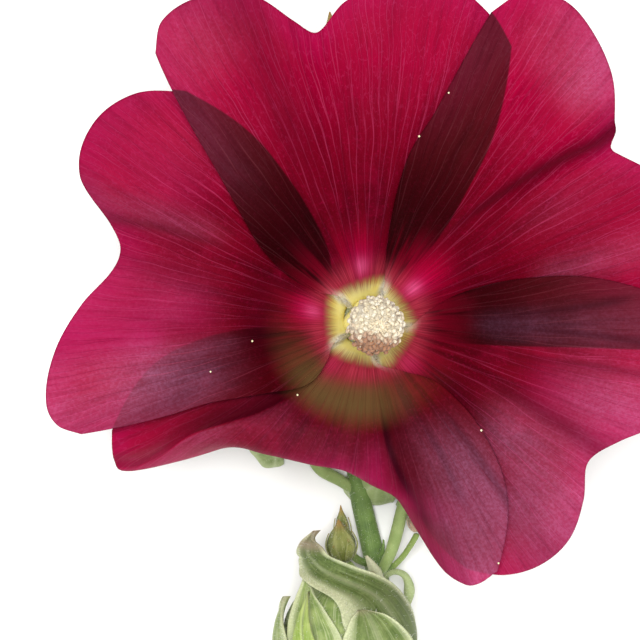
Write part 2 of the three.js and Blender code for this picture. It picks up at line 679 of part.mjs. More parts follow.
function bloom() {
  const group = new THREE.Group();
  group.position.z = BLOOM_HEIGHT;
  for (const petal of PETALS) group.add(piece(petal.name, petalGeometry(petal), FINISH.petal));
  group.add(piece("calyx", lobedCupGeometry(CALYX, 8, 8), FINISH.calyx));
  group.add(piece("epicalyx", lobedCupGeometry(EPICALYX, 4, 7), FINISH.calyx));
  const stamens = new THREE.Group();
  stamens.rotation.y = radians(ANTHERS.lean);
  stamens.add(piece("staminal_column", columnGeometry(), FINISH.column));
  stamens.add(piece("anthers", anthersGeometry(), FINISH.anthers));
  group.add(stamens);
  return group;
}

function witheredFlower() {
  const group = new THREE.Group();
  group.add(piece("withered_calyx", witheredCalyxGeometry(), FINISH.bud));
  group.add(piece("withered_epicalyx", witheredEpicalyxGeometry(), FINISH.bud));
  group.rotation.set(radians(-90), 0, radians(FRUIT.lean), "ZXY");
  group.position.copy(vector(FRUIT.at));
  return group;
}

function flowerOnItsStalk() {
  const whole = new THREE.Group();
  whole.add(bloom());
  whole.add(piece("stalk", stalkGeometry(), FINISH.stalk));
  for (const [name, leaf] of Object.entries(LEAVES)) whole.add(piece(name, leafGeometry(leaf), FINISH.leaf));
  for (const [name, bud] of Object.entries(BUDS)) {
    whole.add(planted(piece(name, budGeometry(bud), FINISH.bud), bud.at, bud.towards));
  }
  for (const [name, scale] of Object.entries(STIPULES)) {
    whole.add(piece(name, stipuleGeometry(scale), FINISH.leaf));
  }
  whole.add(witheredFlower());
  return whole;
}

export default flowerOnItsStalk();
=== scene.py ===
# %% [markdown]
# # A picked hollyhock flower
#
# This lesson dresses a plain solid model of a hollyhock flower as the real, living thing: five
# crimson petals that overlap like the blades of a fan, a ball of cream anthers in a yellow-green
# eye, and behind them the cut stalk with its leaves, buds and a withered calyx.
#
# The solid model comes in as a fixed frame. Every piece made here takes the place of one of its
# nodes and rides on its body. Lengths are in millimetres and are multiplied by `MM` where Blender
# wants metres. Only the floor and the lights, which are large, are given in metres.

import math

import bpy
import numpy as np
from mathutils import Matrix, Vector


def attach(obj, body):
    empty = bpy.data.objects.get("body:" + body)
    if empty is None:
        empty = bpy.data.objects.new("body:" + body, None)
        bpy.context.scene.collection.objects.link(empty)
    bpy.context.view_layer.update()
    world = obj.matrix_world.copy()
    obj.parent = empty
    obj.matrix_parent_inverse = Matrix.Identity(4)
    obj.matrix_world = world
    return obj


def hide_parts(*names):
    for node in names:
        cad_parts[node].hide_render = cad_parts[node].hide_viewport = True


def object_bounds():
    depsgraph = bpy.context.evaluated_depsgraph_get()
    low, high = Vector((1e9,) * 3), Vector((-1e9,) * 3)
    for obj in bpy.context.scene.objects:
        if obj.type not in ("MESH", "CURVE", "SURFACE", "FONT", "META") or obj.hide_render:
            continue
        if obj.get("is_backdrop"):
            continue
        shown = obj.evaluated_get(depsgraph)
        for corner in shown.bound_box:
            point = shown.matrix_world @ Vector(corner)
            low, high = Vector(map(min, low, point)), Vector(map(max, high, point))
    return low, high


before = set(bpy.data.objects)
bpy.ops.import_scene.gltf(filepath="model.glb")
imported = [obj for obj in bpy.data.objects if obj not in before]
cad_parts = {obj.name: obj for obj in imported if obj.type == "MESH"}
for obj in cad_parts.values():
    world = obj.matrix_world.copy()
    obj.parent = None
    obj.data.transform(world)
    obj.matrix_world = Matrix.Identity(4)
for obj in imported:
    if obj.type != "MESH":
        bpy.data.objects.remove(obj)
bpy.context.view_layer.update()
MM = 0.001
chance = np.random.default_rng(17)  # seeded, so that every run draws the same flower
print("nodes in the frame:", len(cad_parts))

# %% [markdown]
# ## Curves and steps
#
# Petals, leaves and buds are drawn from a few curves: how far a rim reaches, how a side edge
# bends, how thick a bud is along its length. `curve_through` gives such a curve from the points
# that matter. A Bezier curve object would do the same by hand, but a function can be read at any
# place, for a whole array of places at once.

# %% Curves and steps
def smooth_step(low, high, x):
    """0 below low, 1 above high, and a soft passage between."""
    share = np.clip((np.asarray(x, float) - low) / (high - low), 0, 1)
    return share * share * (3 - 2 * share)


def swelling(centre, half_width, x):
    """1 at the centre, falling softly to nothing on both sides."""
    return np.exp(-(((np.asarray(x, float) - centre) / half_width) ** 2))


def turn_between(start, end):
    """Degrees from one direction to another by the shorter way round."""
    return (np.asarray(end, float) - start + 180) % 360 - 180


def curve_through(pairs):
    """A smooth curve through (x, y) pairs, to be read at any x. y may be a point in space."""
    xs = np.array([pair[0] for pair in pairs], float)
    ys = np.array([pair[1] for pair in pairs], float)
    places = np.arange(len(xs))
    before, after = np.maximum(places - 1, 0), np.minimum(places + 1, len(xs) - 1)
    slopes = ((ys[after] - ys[before]).T / (xs[after] - xs[before])).T

    def read(x):
        x = np.clip(np.asarray(x, float), xs[0], xs[-1])
        i = np.clip(np.searchsorted(xs, x) - 1, 0, len(xs) - 2)
        width = xs[i + 1] - xs[i]
        t = (x - xs[i]) / width
        if ys.ndim > 1:
            t, width = t[..., None], width[..., None]
        rise = (2 * t**3 - 3 * t**2 + 1) * ys[i] + (3 * t**2 - 2 * t**3) * ys[i + 1]
        return rise + width * ((t**3 - 2 * t**2 + t) * slopes[i] + (t**3 - t**2) * slopes[i + 1])

    return read


print("a soft step from 0 to 1, a quarter of the way along:", smooth_step(0, 1, 0.25).round(3))

# %% [markdown]
# ## Shapes and painted values
#
# A `Shape` is a list of points with faces, and with values painted on its points: how far along a
# petal a point lies, how close to the rim, how much of the yellow eye reaches it. The values
# become mesh attributes, and the materials read them, as a painter reads a pencil sketch. Image
# maps could hold the same, but attributes need no unwrapping and stay sharp where the mesh is fine.

# %% Shapes and painted values
class Shape:
    def __init__(self, points, faces, **paint):
        self.points = np.asarray(points, float).reshape(-1, 3)
        self.faces = [tuple(int(k) for k in face) for face in faces]
        size = len(self.points)
        self.paint = {name: np.broadcast_to(np.ravel(v), size) for name, v in paint.items()}

    def painted(self, **paint):
        self.paint.update(Shape(self.points, [], **paint).paint)
        return self


def together(shapes):
    """Several shapes as one. A value that a shape doesn't have is 0 there."""
    names = sorted({name for shape in shapes for name in shape.paint})
    points, faces, paint, count = [], [], {name: [] for name in names}, 0
    for shape in shapes:
        faces += [tuple(k + count for k in face) for face in shape.faces]
        for name in names:
            paint[name].append(shape.paint.get(name, np.zeros(len(shape.points))))
        points.append(shape.points)
        count += len(shape.points)
    return Shape(np.concatenate(points), faces, **{n: np.concatenate(v) for n, v in paint.items()})


def mesh_object(name, shape, *materials):
    """A smooth-shaded object in metres. Faces that are painted "hair" take the second material."""
    mesh = bpy.data.meshes.new(name)
    mesh.from_pydata((shape.points * MM).tolist(), [], shape.faces)
    for key, values in shape.paint.items():
        layer = mesh.attributes.new(key, "FLOAT", "POINT")
        layer.data.foreach_set("value", np.ascontiguousarray(values, dtype=np.float32))
    for material in materials:
        mesh.materials.append(material)
    if len(materials) > 1:
        hair = shape.paint["hair"]
        index = [int(hair[face[0]] > 0.5) for face in shape.faces]
        mesh.polygons.foreach_set("material_index", index)
    mesh.polygons.foreach_set("use_smooth", [True] * len(shape.faces))
    mesh.update()
    made = bpy.data.objects.new(name, mesh)
    bpy.context.scene.collection.objects.link(made)
    return made


def finished_piece(name, shape, slot, nodes, *materials):
    """Makes an object that takes the place of nodes of the frame, with the given materials. slot is not
    used.
    """
    made = mesh_object(name, shape, *materials)
    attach(made, "root")
    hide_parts(*nodes)
    print(f"{name}: {len(shape.faces)} faces for {', '.join(nodes)}")


# %% [markdown]
# ## Sheets, tubes and hairs
#
# Almost everything on a flower is one of three forms. A petal, leaf or sepal is a thin sheet with
# two faces and an edge. A stalk or filament is a tube along a path. Down is a crowd of fine cones.
# The Solidify modifier and a curve's bevel would make the first two as well. Building them from
# arrays keeps the painted values exact on both faces, and lets a sheet thin out towards its rim.

# %% Sheets
def grid_faces(rows, columns, start=0, flip=False):
    """Four-sided faces between the points of a grid. flip turns them to face the other way."""
    i, j = np.meshgrid(np.arange(columns - 1), np.arange(rows - 1))
    corner = (start + j * columns + i).ravel()
    faces = np.stack([corner, corner + 1, corner + columns + 1, corner + columns], 1)
    return (faces[:, ::-1] if flip else faces).tolist()


def thin_sheet(upper, lower, **paint):
    """A closed sheet from two grids of points, rows x columns. Paint is given once, for both."""
    rows, columns = upper.shape[:2]
    size = rows * columns
    ring = [j * columns for j in range(rows - 1, 0, -1)]
    ring += list(range(columns - 1)) + [j * columns + columns - 1 for j in range(rows - 1)]
    ring += [(rows - 1) * columns + i for i in range(columns - 1, 0, -1)]
    faces = grid_faces(rows, columns) + grid_faces(rows, columns, size, flip=True)
    faces += [(a, a + size, b + size, b) for a, b in zip(ring, ring[1:] + ring[:1])]
    points = np.concatenate([upper.reshape(-1, 3), lower.reshape(-1, 3)])
    both = {name: np.tile(np.broadcast_to(v, (rows, columns)).ravel(), 2) for name, v in paint.items()}
    return Shape(points, faces, **both)


# %% Closed rings
def ring_faces(rings, sides):
    """Faces between rings of points, and a fan at each end round one more point."""
    faces = []
    for j in range(rings - 1):
        for i in range(sides):
            k = (i + 1) % sides
            faces.append((j * sides + i, j * sides + k, (j + 1) * sides + k, (j + 1) * sides + i))
    first, last, end = rings * sides, rings * sides + 1, (rings - 1) * sides
    faces += [(first, (i + 1) % sides, i) for i in range(sides)]
    faces += [(last, end + i, end + (i + 1) % sides) for i in range(sides)]
    return faces


def closed_lathe(grid, **paint):
    """A closed skin over a grid of points, rings x sides, with its ends drawn to their middle."""
    rings, sides = grid.shape[:2]
    points = np.concatenate([grid.reshape(-1, 3), grid[:1].mean(1), grid[-1:].mean(1)])
    full = {}
    for name, values in paint.items():
        values = np.broadcast_to(values, (rings, sides))
        full[name] = np.concatenate([values.ravel(), values[:1].mean(1), values[-1:].mean(1)])
    return Shape(points, ring_faces(rings, sides), **full)


print("faces on a tube of 3 rings with 6 sides:", len(ring_faces(3, 6)))

# %% Tubes
def unit(vectors):
    return vectors / np.maximum(np.linalg.norm(vectors, axis=-1, keepdims=True), 1e-12)


def path_through(points):
    """A smooth path through points, read from 0 at its start to 1 at its end."""
    points = np.array(points, float)
    steps = np.linalg.norm(np.diff(points, axis=0), axis=1)
    reach = np.concatenate([[0], np.cumsum(steps)])
    return curve_through(list(zip(reach / reach[-1], points)))


def frames_along(centres):
    """Two directions square to a path at each of its points, turning as little as they can."""
    ahead = unit(np.gradient(centres, axis=0))
    side = np.cross(ahead[0], [0.0, 0.0, 1.0] if abs(ahead[0][2]) < 0.9 else [0.0, 1.0, 0.0])
    sides = []
    for direction in ahead:
        side = unit(side - direction * np.dot(side, direction))
        sides.append(side)
    return np.array(sides), np.cross(ahead, sides)


def tube(points, radii, sides=16, rings=24, uneven=None, **paint):
    """A closed tube along a path. radii are spread evenly along it."""
    path = path_through(points)
    radius = curve_through([(k / (len(radii) - 1), r) for k, r in enumerate(radii)])
    along = np.linspace(0, 1, rings)
    centres = path(along)
    across, up = frames_along(centres)
    angle = np.linspace(0, 2 * np.pi, sides, endpoint=False)
    size = radius(along)[:, None] * (1 if uneven is None else uneven(along[:, None], angle[None, :]))
    size = np.broadcast_to(size, (rings, sides))
    ring = across[:, None] * np.cos(angle)[None, :, None] + up[:, None] * np.sin(angle)[None, :, None]
    grid = centres[:, None] + ring * size[..., None]
    points = np.concatenate([grid.reshape(-1, 3), centres[:1], centres[-1:]])
    length = np.concatenate([np.repeat(along, sides), [0, 1]])
    return Shape(points, ring_faces(rings, sides), along=length, **paint)


# %% Hairs
def kept_off_table(points, gap):
    """Raises the points that would sink into the table."""
    points[:, 2] = np.maximum(points[:, 2], gap)


def cones(roots, ways, lengths, width):
    """Fine three-sided hairs from roots along unit directions."""
    count = len(roots)
    tips = roots + ways * np.reshape(lengths, (-1, 1))
    kept_off_table(tips, 0.05)
    across = unit(np.cross(ways, chance.normal(0, 1, (count, 3))))
    other = np.cross(ways, across)
    ring = [across, -0.5 * across + 0.87 * other, -0.5 * across - 0.87 * other]
    points = np.stack([roots + side * width - ways * 0.05 for side in ring] + [tips], 1)
    faces = []
    for k in range(0, 4 * count, 4):
        faces += [(k, k + 1, k + 3), (k + 1, k + 2, k + 3), (k + 2, k, k + 3), (k, k + 2, k + 1)]
    return Shape(points.reshape(-1, 3), faces, hair=1.0)


def down(shape, count, length, width=0.035, lean=0.25, crowded=0.0):
    """Short hairs that stand on a shape's faces, drawn by chance with an even spread, or crowded
    on its painted margins."""
    corners = np.array([shape.points[list(face[:3])] for face in shape.faces])
    cross = np.cross(corners[:, 1] - corners[:, 0], corners[:, 2] - corners[:, 0])
    area = np.linalg.norm(cross, axis=1)
    if crowded:
        margin = np.array([shape.paint["margin"][face[0]] for face in shape.faces])
        area = area * (1 + crowded * margin)
    picked = chance.choice(len(corners), count, p=area / area.sum())
    weights = chance.dirichlet([1, 1, 1], count)
    roots = (corners[picked] * weights[..., None]).sum(1)
    ways = unit(unit(cross[picked]) + chance.normal(0, lean, (count, 3)))
    return cones(roots, ways, length * chance.uniform(0.5, 1.15, count), width)


# %% [markdown]
# ## Mixing finishes
#
# A finish is a small recipe of nodes: read a painted value, break it up with noise, mix two
# colours by it, and hand colour, roughness and relief to the Principled shader. `Finish` gives
# each of these steps a short word, so that the recipes below read in the order in which a painter
# would lay the washes. The same nodes could be set by hand in the Shader Editor.

# %% Mixing finishes
def shade(hex_colour):
    """A colour as it looks on a screen, turned into the linear light that nodes work in."""
    parts = [int(hex_colour[k : k + 2], 16) / 255 for k in (1, 3, 5)]
    return tuple(p / 12.92 if p <= 0.04045 else ((p + 0.055) / 1.055) ** 2.4 for p in parts) + (1.0,)


class Finish:
    def __init__(self, name):
        self.material = bpy.data.materials.new(name)
        self.material.use_nodes = True
        self.nodes = self.material.node_tree.nodes
        self.links = self.material.node_tree.links
        self.nodes.clear()

    def node(self, kind, inputs, output=0, **settings):
        made = self.nodes.new("ShaderNode" + kind)
        for key, value in settings.items():
            setattr(made, key, value)
        for key, value in inputs.items():
            if isinstance(value, bpy.types.NodeSocket):
                self.links.new(value, made.inputs[key])
            elif value is not None:
                made.inputs[key].default_value = value
        return made.outputs[output]

    def paint(self, name):
        return self.node("Attribute", {}, 2, attribute_name=name)

    def math(self, operation, a, b=None, c=None, clamp=False):
        return self.node("Math", {0: a, 1: b, 2: c}, operation=operation, use_clamp=clamp)

    def times(self, *factors):
        product = factors[0]
        for factor in factors[1:]:
            product = self.math("MULTIPLY", product, factor)
        return product

    def eased(self, x, low, high, start=0.0, end=1.0):
        """start below low, end above high, and a soft passage between."""
        values = {0: x, 1: low, 2: high, 3: start, 4: end}
        return self.node("MapRange", values, interpolation_type="SMOOTHSTEP")

    def mix(self, share, a, b):
        return self.node("Mix", {0: share, 6: a, 7: b}, 2, data_type="RGBA", clamp_factor=True)

    def wash(self, base, colour, *shares):
        """A colour laid over the base, as strongly as all its shares multiplied."""
        return self.mix(self.times(*shares), base, shade(colour))

    def over(self, way, share, a, b):
        """b laid over a by adding light ("ADD") or by filtering it ("MULTIPLY")."""
        values = {0: share, 6: a, 7: b}
        return self.node("Mix", values, 2, data_type="RGBA", blend_type=way, clamp_factor=False)

    def place(self, x=0.0, y=0.0, z=0.0):
        return self.node("CombineXYZ", {0: x, 1: y, 2: z})

    def where(self):
        """The place on the object in millimetres."""
        spot = self.node("TexCoord", {}, 3)
        return self.node("VectorMath", {0: spot, 3: 1 / MM}, operation="SCALE")

    def noise(self, place, scale, detail=3.0, roughness=0.5, distortion=0.0):
        values = {0: place, 2: scale, 3: detail, 4: roughness, 8: distortion}
        return self.node("TexNoise", values)

    def relief(self, height, depth):
        """Bump. depth is in millimetres."""
        return self.node("Bump", {0: 1.0, 1: depth * MM, 3: height})

    def surface(self, colour, roughness, normal, sheen=0.0, sheen_colour=(1, 1, 1, 1), specular=0.5):
        values = {
            "Base Color": colour, "Roughness": roughness, "Normal": normal, "Sheen Weight": sheen,
            "Sheen Tint": sheen_colour, "Sheen Roughness": 0.4, "Specular IOR Level": specular,
        }
        return self.node("BsdfPrincipled", values)

    def done(self, shader, colour=None, through=0.0):
        """through: the share of light that passes the tissue and comes out in its colour."""
        if through:
            glowing = self.node("BsdfTranslucent", {0: colour})
            shader = self.node("MixShader", {0: through, 1: shader, 2: glowing})
        out = self.nodes.new("ShaderNodeOutputMaterial")
        self.links.new(shader, out.inputs[0])
        return self.material


print("mid crimson in linear light:", [round(part, 3) for part in shade("#9c0031")[:3]])

# %% [markdown]
# ## The corolla
#
# The five petals share one surface: from a narrow foot it climbs steeply, opens like a trumpet
# and runs out into an almost flat blade that droops a little at its rim. It is drawn as a slope
# for each reach from the foot, added up step by step, which gives the same shape as bending a
# strip of card. The lowest petal is folded down over its middle. Directions are in degrees, from
# the right and counter-clockwise, as seen from above.

# %% The corolla
BLOOM_HEIGHT = 19.0
CLAW_RADIUS = 4.2
THROAT_SLOPE, BLADE_SLOPE, THROAT_LENGTH, RIM_DROOP = 68, 2, 20, 14
FOLD_AT, FOLD_TURN, FOLD_WIDTH = 253, 104, 14
FOLD_SHARE = curve_through([(-50, 0), (-44, 0.15), (-38, 0.5), (-32, 0.85), (-26, 1), (20, 1),
                            (24.5, 0.97), (28, 0.85), (31, 0.62), (33, 0.38), (35, 0.17), (38.5, 0)])
FOLD_MIDDLE = curve_through([(-50, 38.3), (-40, 33.5), (-30, 29.7), (-20, 26.8), (-10, 24.9),
                             (-4, 23.9), (2, 23.1), (8, 22.9), (14, 23.7), (20, 25.2), (26, 26.8),
                             (32, 28.2), (40, 31)])
STEP, LONGEST_REACH = 0.25, 72


def slope_at(reach, angle):
    """How steeply the corolla climbs at a place, in degrees."""
    funnel = BLADE_SLOPE + (THROAT_SLOPE - BLADE_SLOPE) * np.exp(-reach / THROAT_LENGTH)
    turn = turn_between(FOLD_AT, angle)
    bent = smooth_step(0, 1, (reach - FOLD_MIDDLE(turn)) / FOLD_WIDTH + 0.5)
    return funnel - RIM_DROOP * smooth_step(30, 70, reach) - FOLD_TURN * FOLD_SHARE(turn) * bent


REACHES = np.arange(0, LONGEST_REACH, STEP)
ANGLES = np.arange(0, 361)
slopes = np.radians(slope_at((REACHES + STEP / 2)[:, None], ANGLES[None, :]))
ZERO = np.zeros((1, len(ANGLES)))
RADIUS_TABLE = CLAW_RADIUS + np.concatenate([ZERO, np.cumsum(np.cos(slopes) * STEP, 0)])[:-1]
HEIGHT_TABLE = np.concatenate([ZERO, np.cumsum(np.sin(slopes) * STEP, 0)])[:-1]


def read_table(values, reach, angle):
    """Reads a table of the corolla between its entries."""
    row = np.clip(np.asarray(reach) / STEP, 0, len(REACHES) - 1.001)
    column = np.asarray(angle) % 360
    j, i = row.astype(int), column.astype(int)
    t, s = row - j, column - i
    near = values[j, i] * (1 - s) + values[j, i + 1] * s
    far = values[j + 1, i] * (1 - s) + values[j + 1, i + 1] * s
    return near * (1 - t) + far * t


def bloom_point(reach, angle, lift):
    """The place at a reach and direction, lifted square off the shared surface."""
    slope = np.radians(slope_at(reach, angle))
    out = read_table(RADIUS_TABLE, reach, angle) - lift * np.sin(slope)
    height = BLOOM_HEIGHT + read_table(HEIGHT_TABLE, reach, angle) + lift * np.cos(slope)
    turn = np.radians(angle)
    return np.stack([out * np.cos(turn), out * np.sin(turn), height], -1)


print("corolla height at reach 50:", read_table(HEIGHT_TABLE, 50, 101.0).round(1), "mm")

# %% [markdown]
# ## The outline of each petal
#
# A hollyhock petal is a broad wedge, narrow at its claw, with a wavy rim and often a notch in the
# middle. Its two sides are given as angles from the petal's axis at a few reaches, its rim as a
# reach for each share of the way across. Drawing all five outlines first has a use of its own:
# any place on one petal can be asked how far inside its neighbour's outline it lies. Where two
# petals overlap, less light comes through, and the real ones turn almost black there.

# %% The outline of each petal
CLAW_SIDE = [(0, 31.8), (3.5, 33.4), (6.5, 38)]
SIDE_REACHES = (10, 15, 22, 30, 38)


def petal_outline(axis, right, right_corner, left, left_corner, rim):
    """Sides are angles at SIDE_REACHES, a corner is (reach, angle), the rim (share, reach)."""

    def side(angles, corner):
        sign = math.copysign(1, angles[0])
        claw = [(reach, sign * angle) for reach, angle in CLAW_SIDE]
        return curve_through(claw + list(zip(SIDE_REACHES, angles)) + [corner])

    return {
        "axis": axis,
        "right": side(right, right_corner), "left": side(left, left_corner),
        "right_reach": right_corner[0], "left_reach": left_corner[0],
        "rim": curve_through([(0, right_corner[0]), *rim, (1, left_corner[0])]),
    }


PETALS = {
    "petal_1": petal_outline(
        173, (-46, -54, -55, -53.5, -51), (49.5, -44.5), (49, 52.5, 41.5, 34, 31.5), (51.5, 28),
        [(0.1, 55), (0.22, 57), (0.34, 54.5), (0.42, 47), (0.48, 44), (0.56, 44.6), (0.66, 48.5),
         (0.78, 52.8), (0.9, 55.4), (0.96, 54.6)]),
    "petal_2": petal_outline(
        101, (-44, -50.5, -49.5, -47, -44.5), (51.5, -38), (46.5, 49.5, 45.5, 38.5, 33.8), (57, 27.6),
        [(0.1, 55.5), (0.21, 58), (0.34, 57.5), (0.48, 54), (0.57, 49.5), (0.63, 52), (0.71, 57.5),
         (0.83, 61), (0.94, 60.6)]),
    "petal_3": petal_outline(
        29, (-41, -42, -39.5, -37, -35.5), (47, -34.5), (44, 48.3, 49.4, 48, 43.8), (55, 39.8),
        [(0.1, 54), (0.22, 56.2), (0.33, 56), (0.44, 53.8), (0.53, 50.3), (0.562, 49.8),
         (0.585, 52), (0.61, 53), (0.7, 57.8), (0.8, 61.2), (0.87, 62), (0.95, 60)]),
    "petal_4": petal_outline(
        317, (-41, -41.5, -39.5, -34.5, -30.5), (44.5, -25.5), (52, 60, 61, 58.5, 55), (51.5, 46.5),
        [(0.09, 47.8), (0.19, 49.5), (0.29, 49.2), (0.4, 46.5), (0.5, 43.6), (0.6, 46.3), (0.7, 51.8),
         (0.8, 55.3), (0.88, 55.8), (0.95, 53.8)]),
    "petal_5": petal_outline(
        245, (-53, -62, -62.5, -59.5, -54), (47, -42.5), (57, 72, 73.5, 69.5, 63), (46.5, 52),
        [(0.04, 48.5), (0.09, 50.3), (0.15, 46), (0.25, 45), (0.4, 46), (0.5, 43), (0.63, 45),
         (0.76, 43.5), (0.86, 43.2), (0.9, 44.8), (0.94, 47)]),
}
CLOCKWISE_OF = {"petal_1": "petal_2", "petal_2": "petal_3", "petal_3": "petal_4",
                "petal_4": "petal_5", "petal_5": "petal_1"}


def inside_outline(petal, reach, angle):
    """Millimetres inside a petal's outline. Below 0 is outside."""
    turn = turn_between(petal["axis"], angle)
    right, left = petal["right"](reach), petal["left"](reach)
    radius = read_table(RADIUS_TABLE, reach, angle)
    share = np.clip((turn - right) / (left - right), 0, 1)
    from_sides = np.radians(np.minimum(turn - right, left - turn)) * radius
    return np.minimum(from_sides, petal["rim"](share) - reach)


for name, petal in PETALS.items():
    print(f"{name}: {petal['left'](30) - petal['right'](30):.0f} degrees across at a reach of 30 mm")

# %% [markdown]
# ## Laying out a petal
#
# Each petal spirals: its counter-clockwise edge is lifted over its neighbour, its other edge
# tucks under the next one. Shared waves run through all five, so that overlapping petals wave
# together and never cut each other. The petal is thickest at its claw and thins out to a fifth
# of a millimetre at the rim, as the real tissue does. A crease is pressed into each petal but the
# folded one, which has a sharp fold line of its own towards its left tip.

# %% Laying out a petal
ACROSS, ALONG = 150, 120


def overlap_half(reach):
    """How far a petal's edge is lifted or lowered where it overlaps, in millimetres."""
    return 0.45 + 0.4 * smooth_step(2, 7, reach) + 0.5 * smooth_step(15, 50, reach)


def ripple(reach, angle):
    """Waves of the blade, the same for all five petals."""
    turn = np.radians(angle)
    waves = np.sin(11 * turn + 0.6) + 0.6 * np.sin(17 * turn + 2.1) + 0.4 * np.sin(7 * turn)
    return 0.55 * waves * smooth_step(20, 58, reach)


def fine_pleats(reach, turn):
    """Low folds along the veins, strongest half way out."""
    folds = np.sin(np.radians(turn * 9.3)) + 0.7 * np.sin(np.radians(turn * 15.7 + 40))
    return 0.07 * folds * smooth_step(10, 22, reach) * (1 - 0.6 * smooth_step(40, 55, reach))


FOLD_LINE = curve_through([(-38.3, -23.7), (-34.6, -22.1), (-29.5, -18.4), (-24.1, -16.4),
                           (-17.7, -14.3), (-11.7, -11.4)])


def above_fold(reach, angle):
    """Millimetres above the crease that runs to the left tip of the folded petal, seen from the
    front, and how sharp the crease is there."""
    radius, turn = read_table(RADIUS_TABLE, reach, angle), np.radians(angle)
    x, y = radius * np.cos(turn), radius * np.sin(turn)
    return y - FOLD_LINE(x), 1 - smooth_step(-14, -9, x)


P1_CREASE, P3_CREASE = (150.2, 156.8), (48.2, 40.7)
CREASES = {  # direction, half width in degrees, depth in millimetres
    "petal_1": (P1_CREASE, 4.2, 1.1), "petal_2": (99.5, 7, 1.1),
    "petal_3": (P3_CREASE, 3.2, 1.5), "petal_4": (328, 7, 1.6),
}
HALF_AT_RIM, MORE_INSIDE, MORE_AT_CLAW = 0.1, 0.12, 0.15  # half the tissue's thickness


def line_at(direction, radius):
    """A direction in degrees, or a pair of them for a line that bends: at 20 mm and at 40 mm."""
    inner, outer = np.broadcast_to(direction, 2)
    return inner + (outer - inner) * np.clip((radius - 20) / 20, 0, 1.3)


def petal_places(petal):
    """Reach, turn from the axis and share of the way across, for a grid over the petal."""
    across, along = np.meshgrid(np.linspace(0, 1, ACROSS), np.linspace(0, 1, ALONG) ** 0.94)
    reach = along * petal["rim"](across)
    right = petal["right"](along * petal["right_reach"])
    left = petal["left"](along * petal["left_reach"])
    return reach, (1 - across) * right + across * left, across


def petal_sheet(name, petal):
    reach, turn, across = petal_places(petal)
    angle = petal["axis"] + turn
    if name in CREASES:
        line, half_width, depth = CREASES[name]
        middle = turn_between(petal["axis"], line_at(line, read_table(RADIUS_TABLE, reach, angle)))
        valley = depth * swelling(middle, half_width, turn) * smooth_step(14, 44, reach)
    else:
        above, sharp = above_fold(reach, angle)
        valley = 1.1 * sharp * swelling(1.1, 1.2, above)
    lift = overlap_half(reach) * turn / 36 + ripple(reach, angle) - valley + fine_pleats(reach, turn)
    rim_gap = np.maximum(inside_outline(petal, reach, angle), 0)
    half = HALF_AT_RIM + MORE_INSIDE * smooth_step(0, 6, rim_gap)
    half = half + MORE_AT_CLAW * (1 - smooth_step(3, 16, reach))
    upper, lower = (bloom_point(reach, angle, lift + side * half) for side in (1, -1))
    return thin_sheet(upper, lower, **petal_paint(name, petal, reach, turn, across, rim_gap))


print("points on one side of a petal:", ACROSS * ALONG)

# %% [markdown]
# ## Painting values on a petal
#
# The petal's colours follow its growth, with painted light and shade laid over them. The foot is
# yellow-green and forms a star-shaped eye with the others. Round the eye runs a rosy fringe, over
# the middle of each claw lies a pink glow with a crimson flush beyond it, and the lower petals
# carry a painted olive-brown shadow of the calyx behind them. Where light skims the surface, a
# mauve sheen is painted, and furrows get painted shade. All of these are soft, so they are painted
# on the mesh. The edge of the neighbour's painted shade is sharp, so only the distance to it is
# painted, and the material cuts it.
#
# Painted sheen, painted shade and blushes lie in bands along the petal. A band is given as a
# direction and its half width in degrees, the distances from the middle at which it begins and is
# full, a strength, and for some the distance at which it ends. A bent band has a pair of directions.

# %% Bands of painted sheen, painted shade and blushes
# Painted sheen: mauve light laid in bands where light skims the petal.
PAINTED_SHEEN_BANDS = {
    "petal_1": [((147.5, 154), 3.6, 24, 34, 0.5), (140, 14, 30, 42, 0.13), (174, 12, 20, 32, 0.25),
                (198, 9, 18, 34, 0.85), (188.5, 3.5, 19, 24, 0.3), (193, 4, 28, 38, 0.33, 46),
                (186, 4, 31, 37, 0.15, 43)],
    "petal_2": [(90, 30, 40, 55, 0.08), (121, 8, 42, 52, 0.4), (133, 9, 22, 44, 0.2)],
    "petal_3": [(15.5, 4, 25, 31, 0.45), (31, 5, 24, 36, 0.15), (48, 5.5, 43, 52, 1.25),
                (57, 6, 44, 53, 0.45), (70, 9, 36, 46, 0.05)],
    "petal_4": [(359, 5.5, 15, 22, 0.32), (341, 9, 26, 42, 0.95), (319, 8, 20, 30, 0.9),
                (308, 8, 30, 38, 1.05), (329, 6, 20, 28, 0.25)],
    "petal_5": [(303.5, 12, 16, 28, 1.0), (292, 5, 27, 36, 0.5), (293, 7, 9, 14, 0.12),
                (250, 35, 16, 22, 0.17)],
}
# Painted shade, laid in darker bands along creases and furrows.
PAINTED_SHADE_BANDS = {
    "petal_1": [(P1_CREASE, 1.5, 22, 30, 0.5), ((147.5, 153.5), 4, 26, 38, 0.4),
                (140, 20, 42, 52, 0.15), ((163.8, 165), 2.2, 22, 32, 0.35), (160, 9, 9, 13, 0.5, 24),
                (197, 7, 8, 12, 0.6, 21), (185, 8, 12, 15, 0.55, 24), (176, 12, 12, 15, 0.45, 23),
                (202.5, 4, 26, 34, 0.3)],
    "petal_2": [(112, 5, 22, 32, 0.4), (104, 30, 14, 26, 0.09), (133, 6, 8, 12, 0.45, 22)],
    "petal_3": [(P3_CREASE, 1.9, 16, 27, 0.95), (24, 7, 28, 40, 0.22), (38, 4.5, 15, 20, 0.2, 31)],
    "petal_4": [((334.5, 331.5), 3, 17, 25, 0.6), ((347.3, 349), 1.4, 9, 14, 0.45),
                (321, 6, 11, 15, 0.45, 25), (308, 8, 30, 38, 0.42),
                ((2.4, 5.2), 1.1, 14, 20, 0.5, 44), ((-1.2, -3.8), 0.9, 17, 22, 0.4)],
    "petal_5": [((278.3, 289.5), 1.7, 12, 18, 0.95, 35), (285, 6, 12, 18, 0.4, 36),
                ((299, 296), 1.8, 15, 18, 0.18, 36), ((310, 307), 1.4, 17, 22, 0.4)],
}
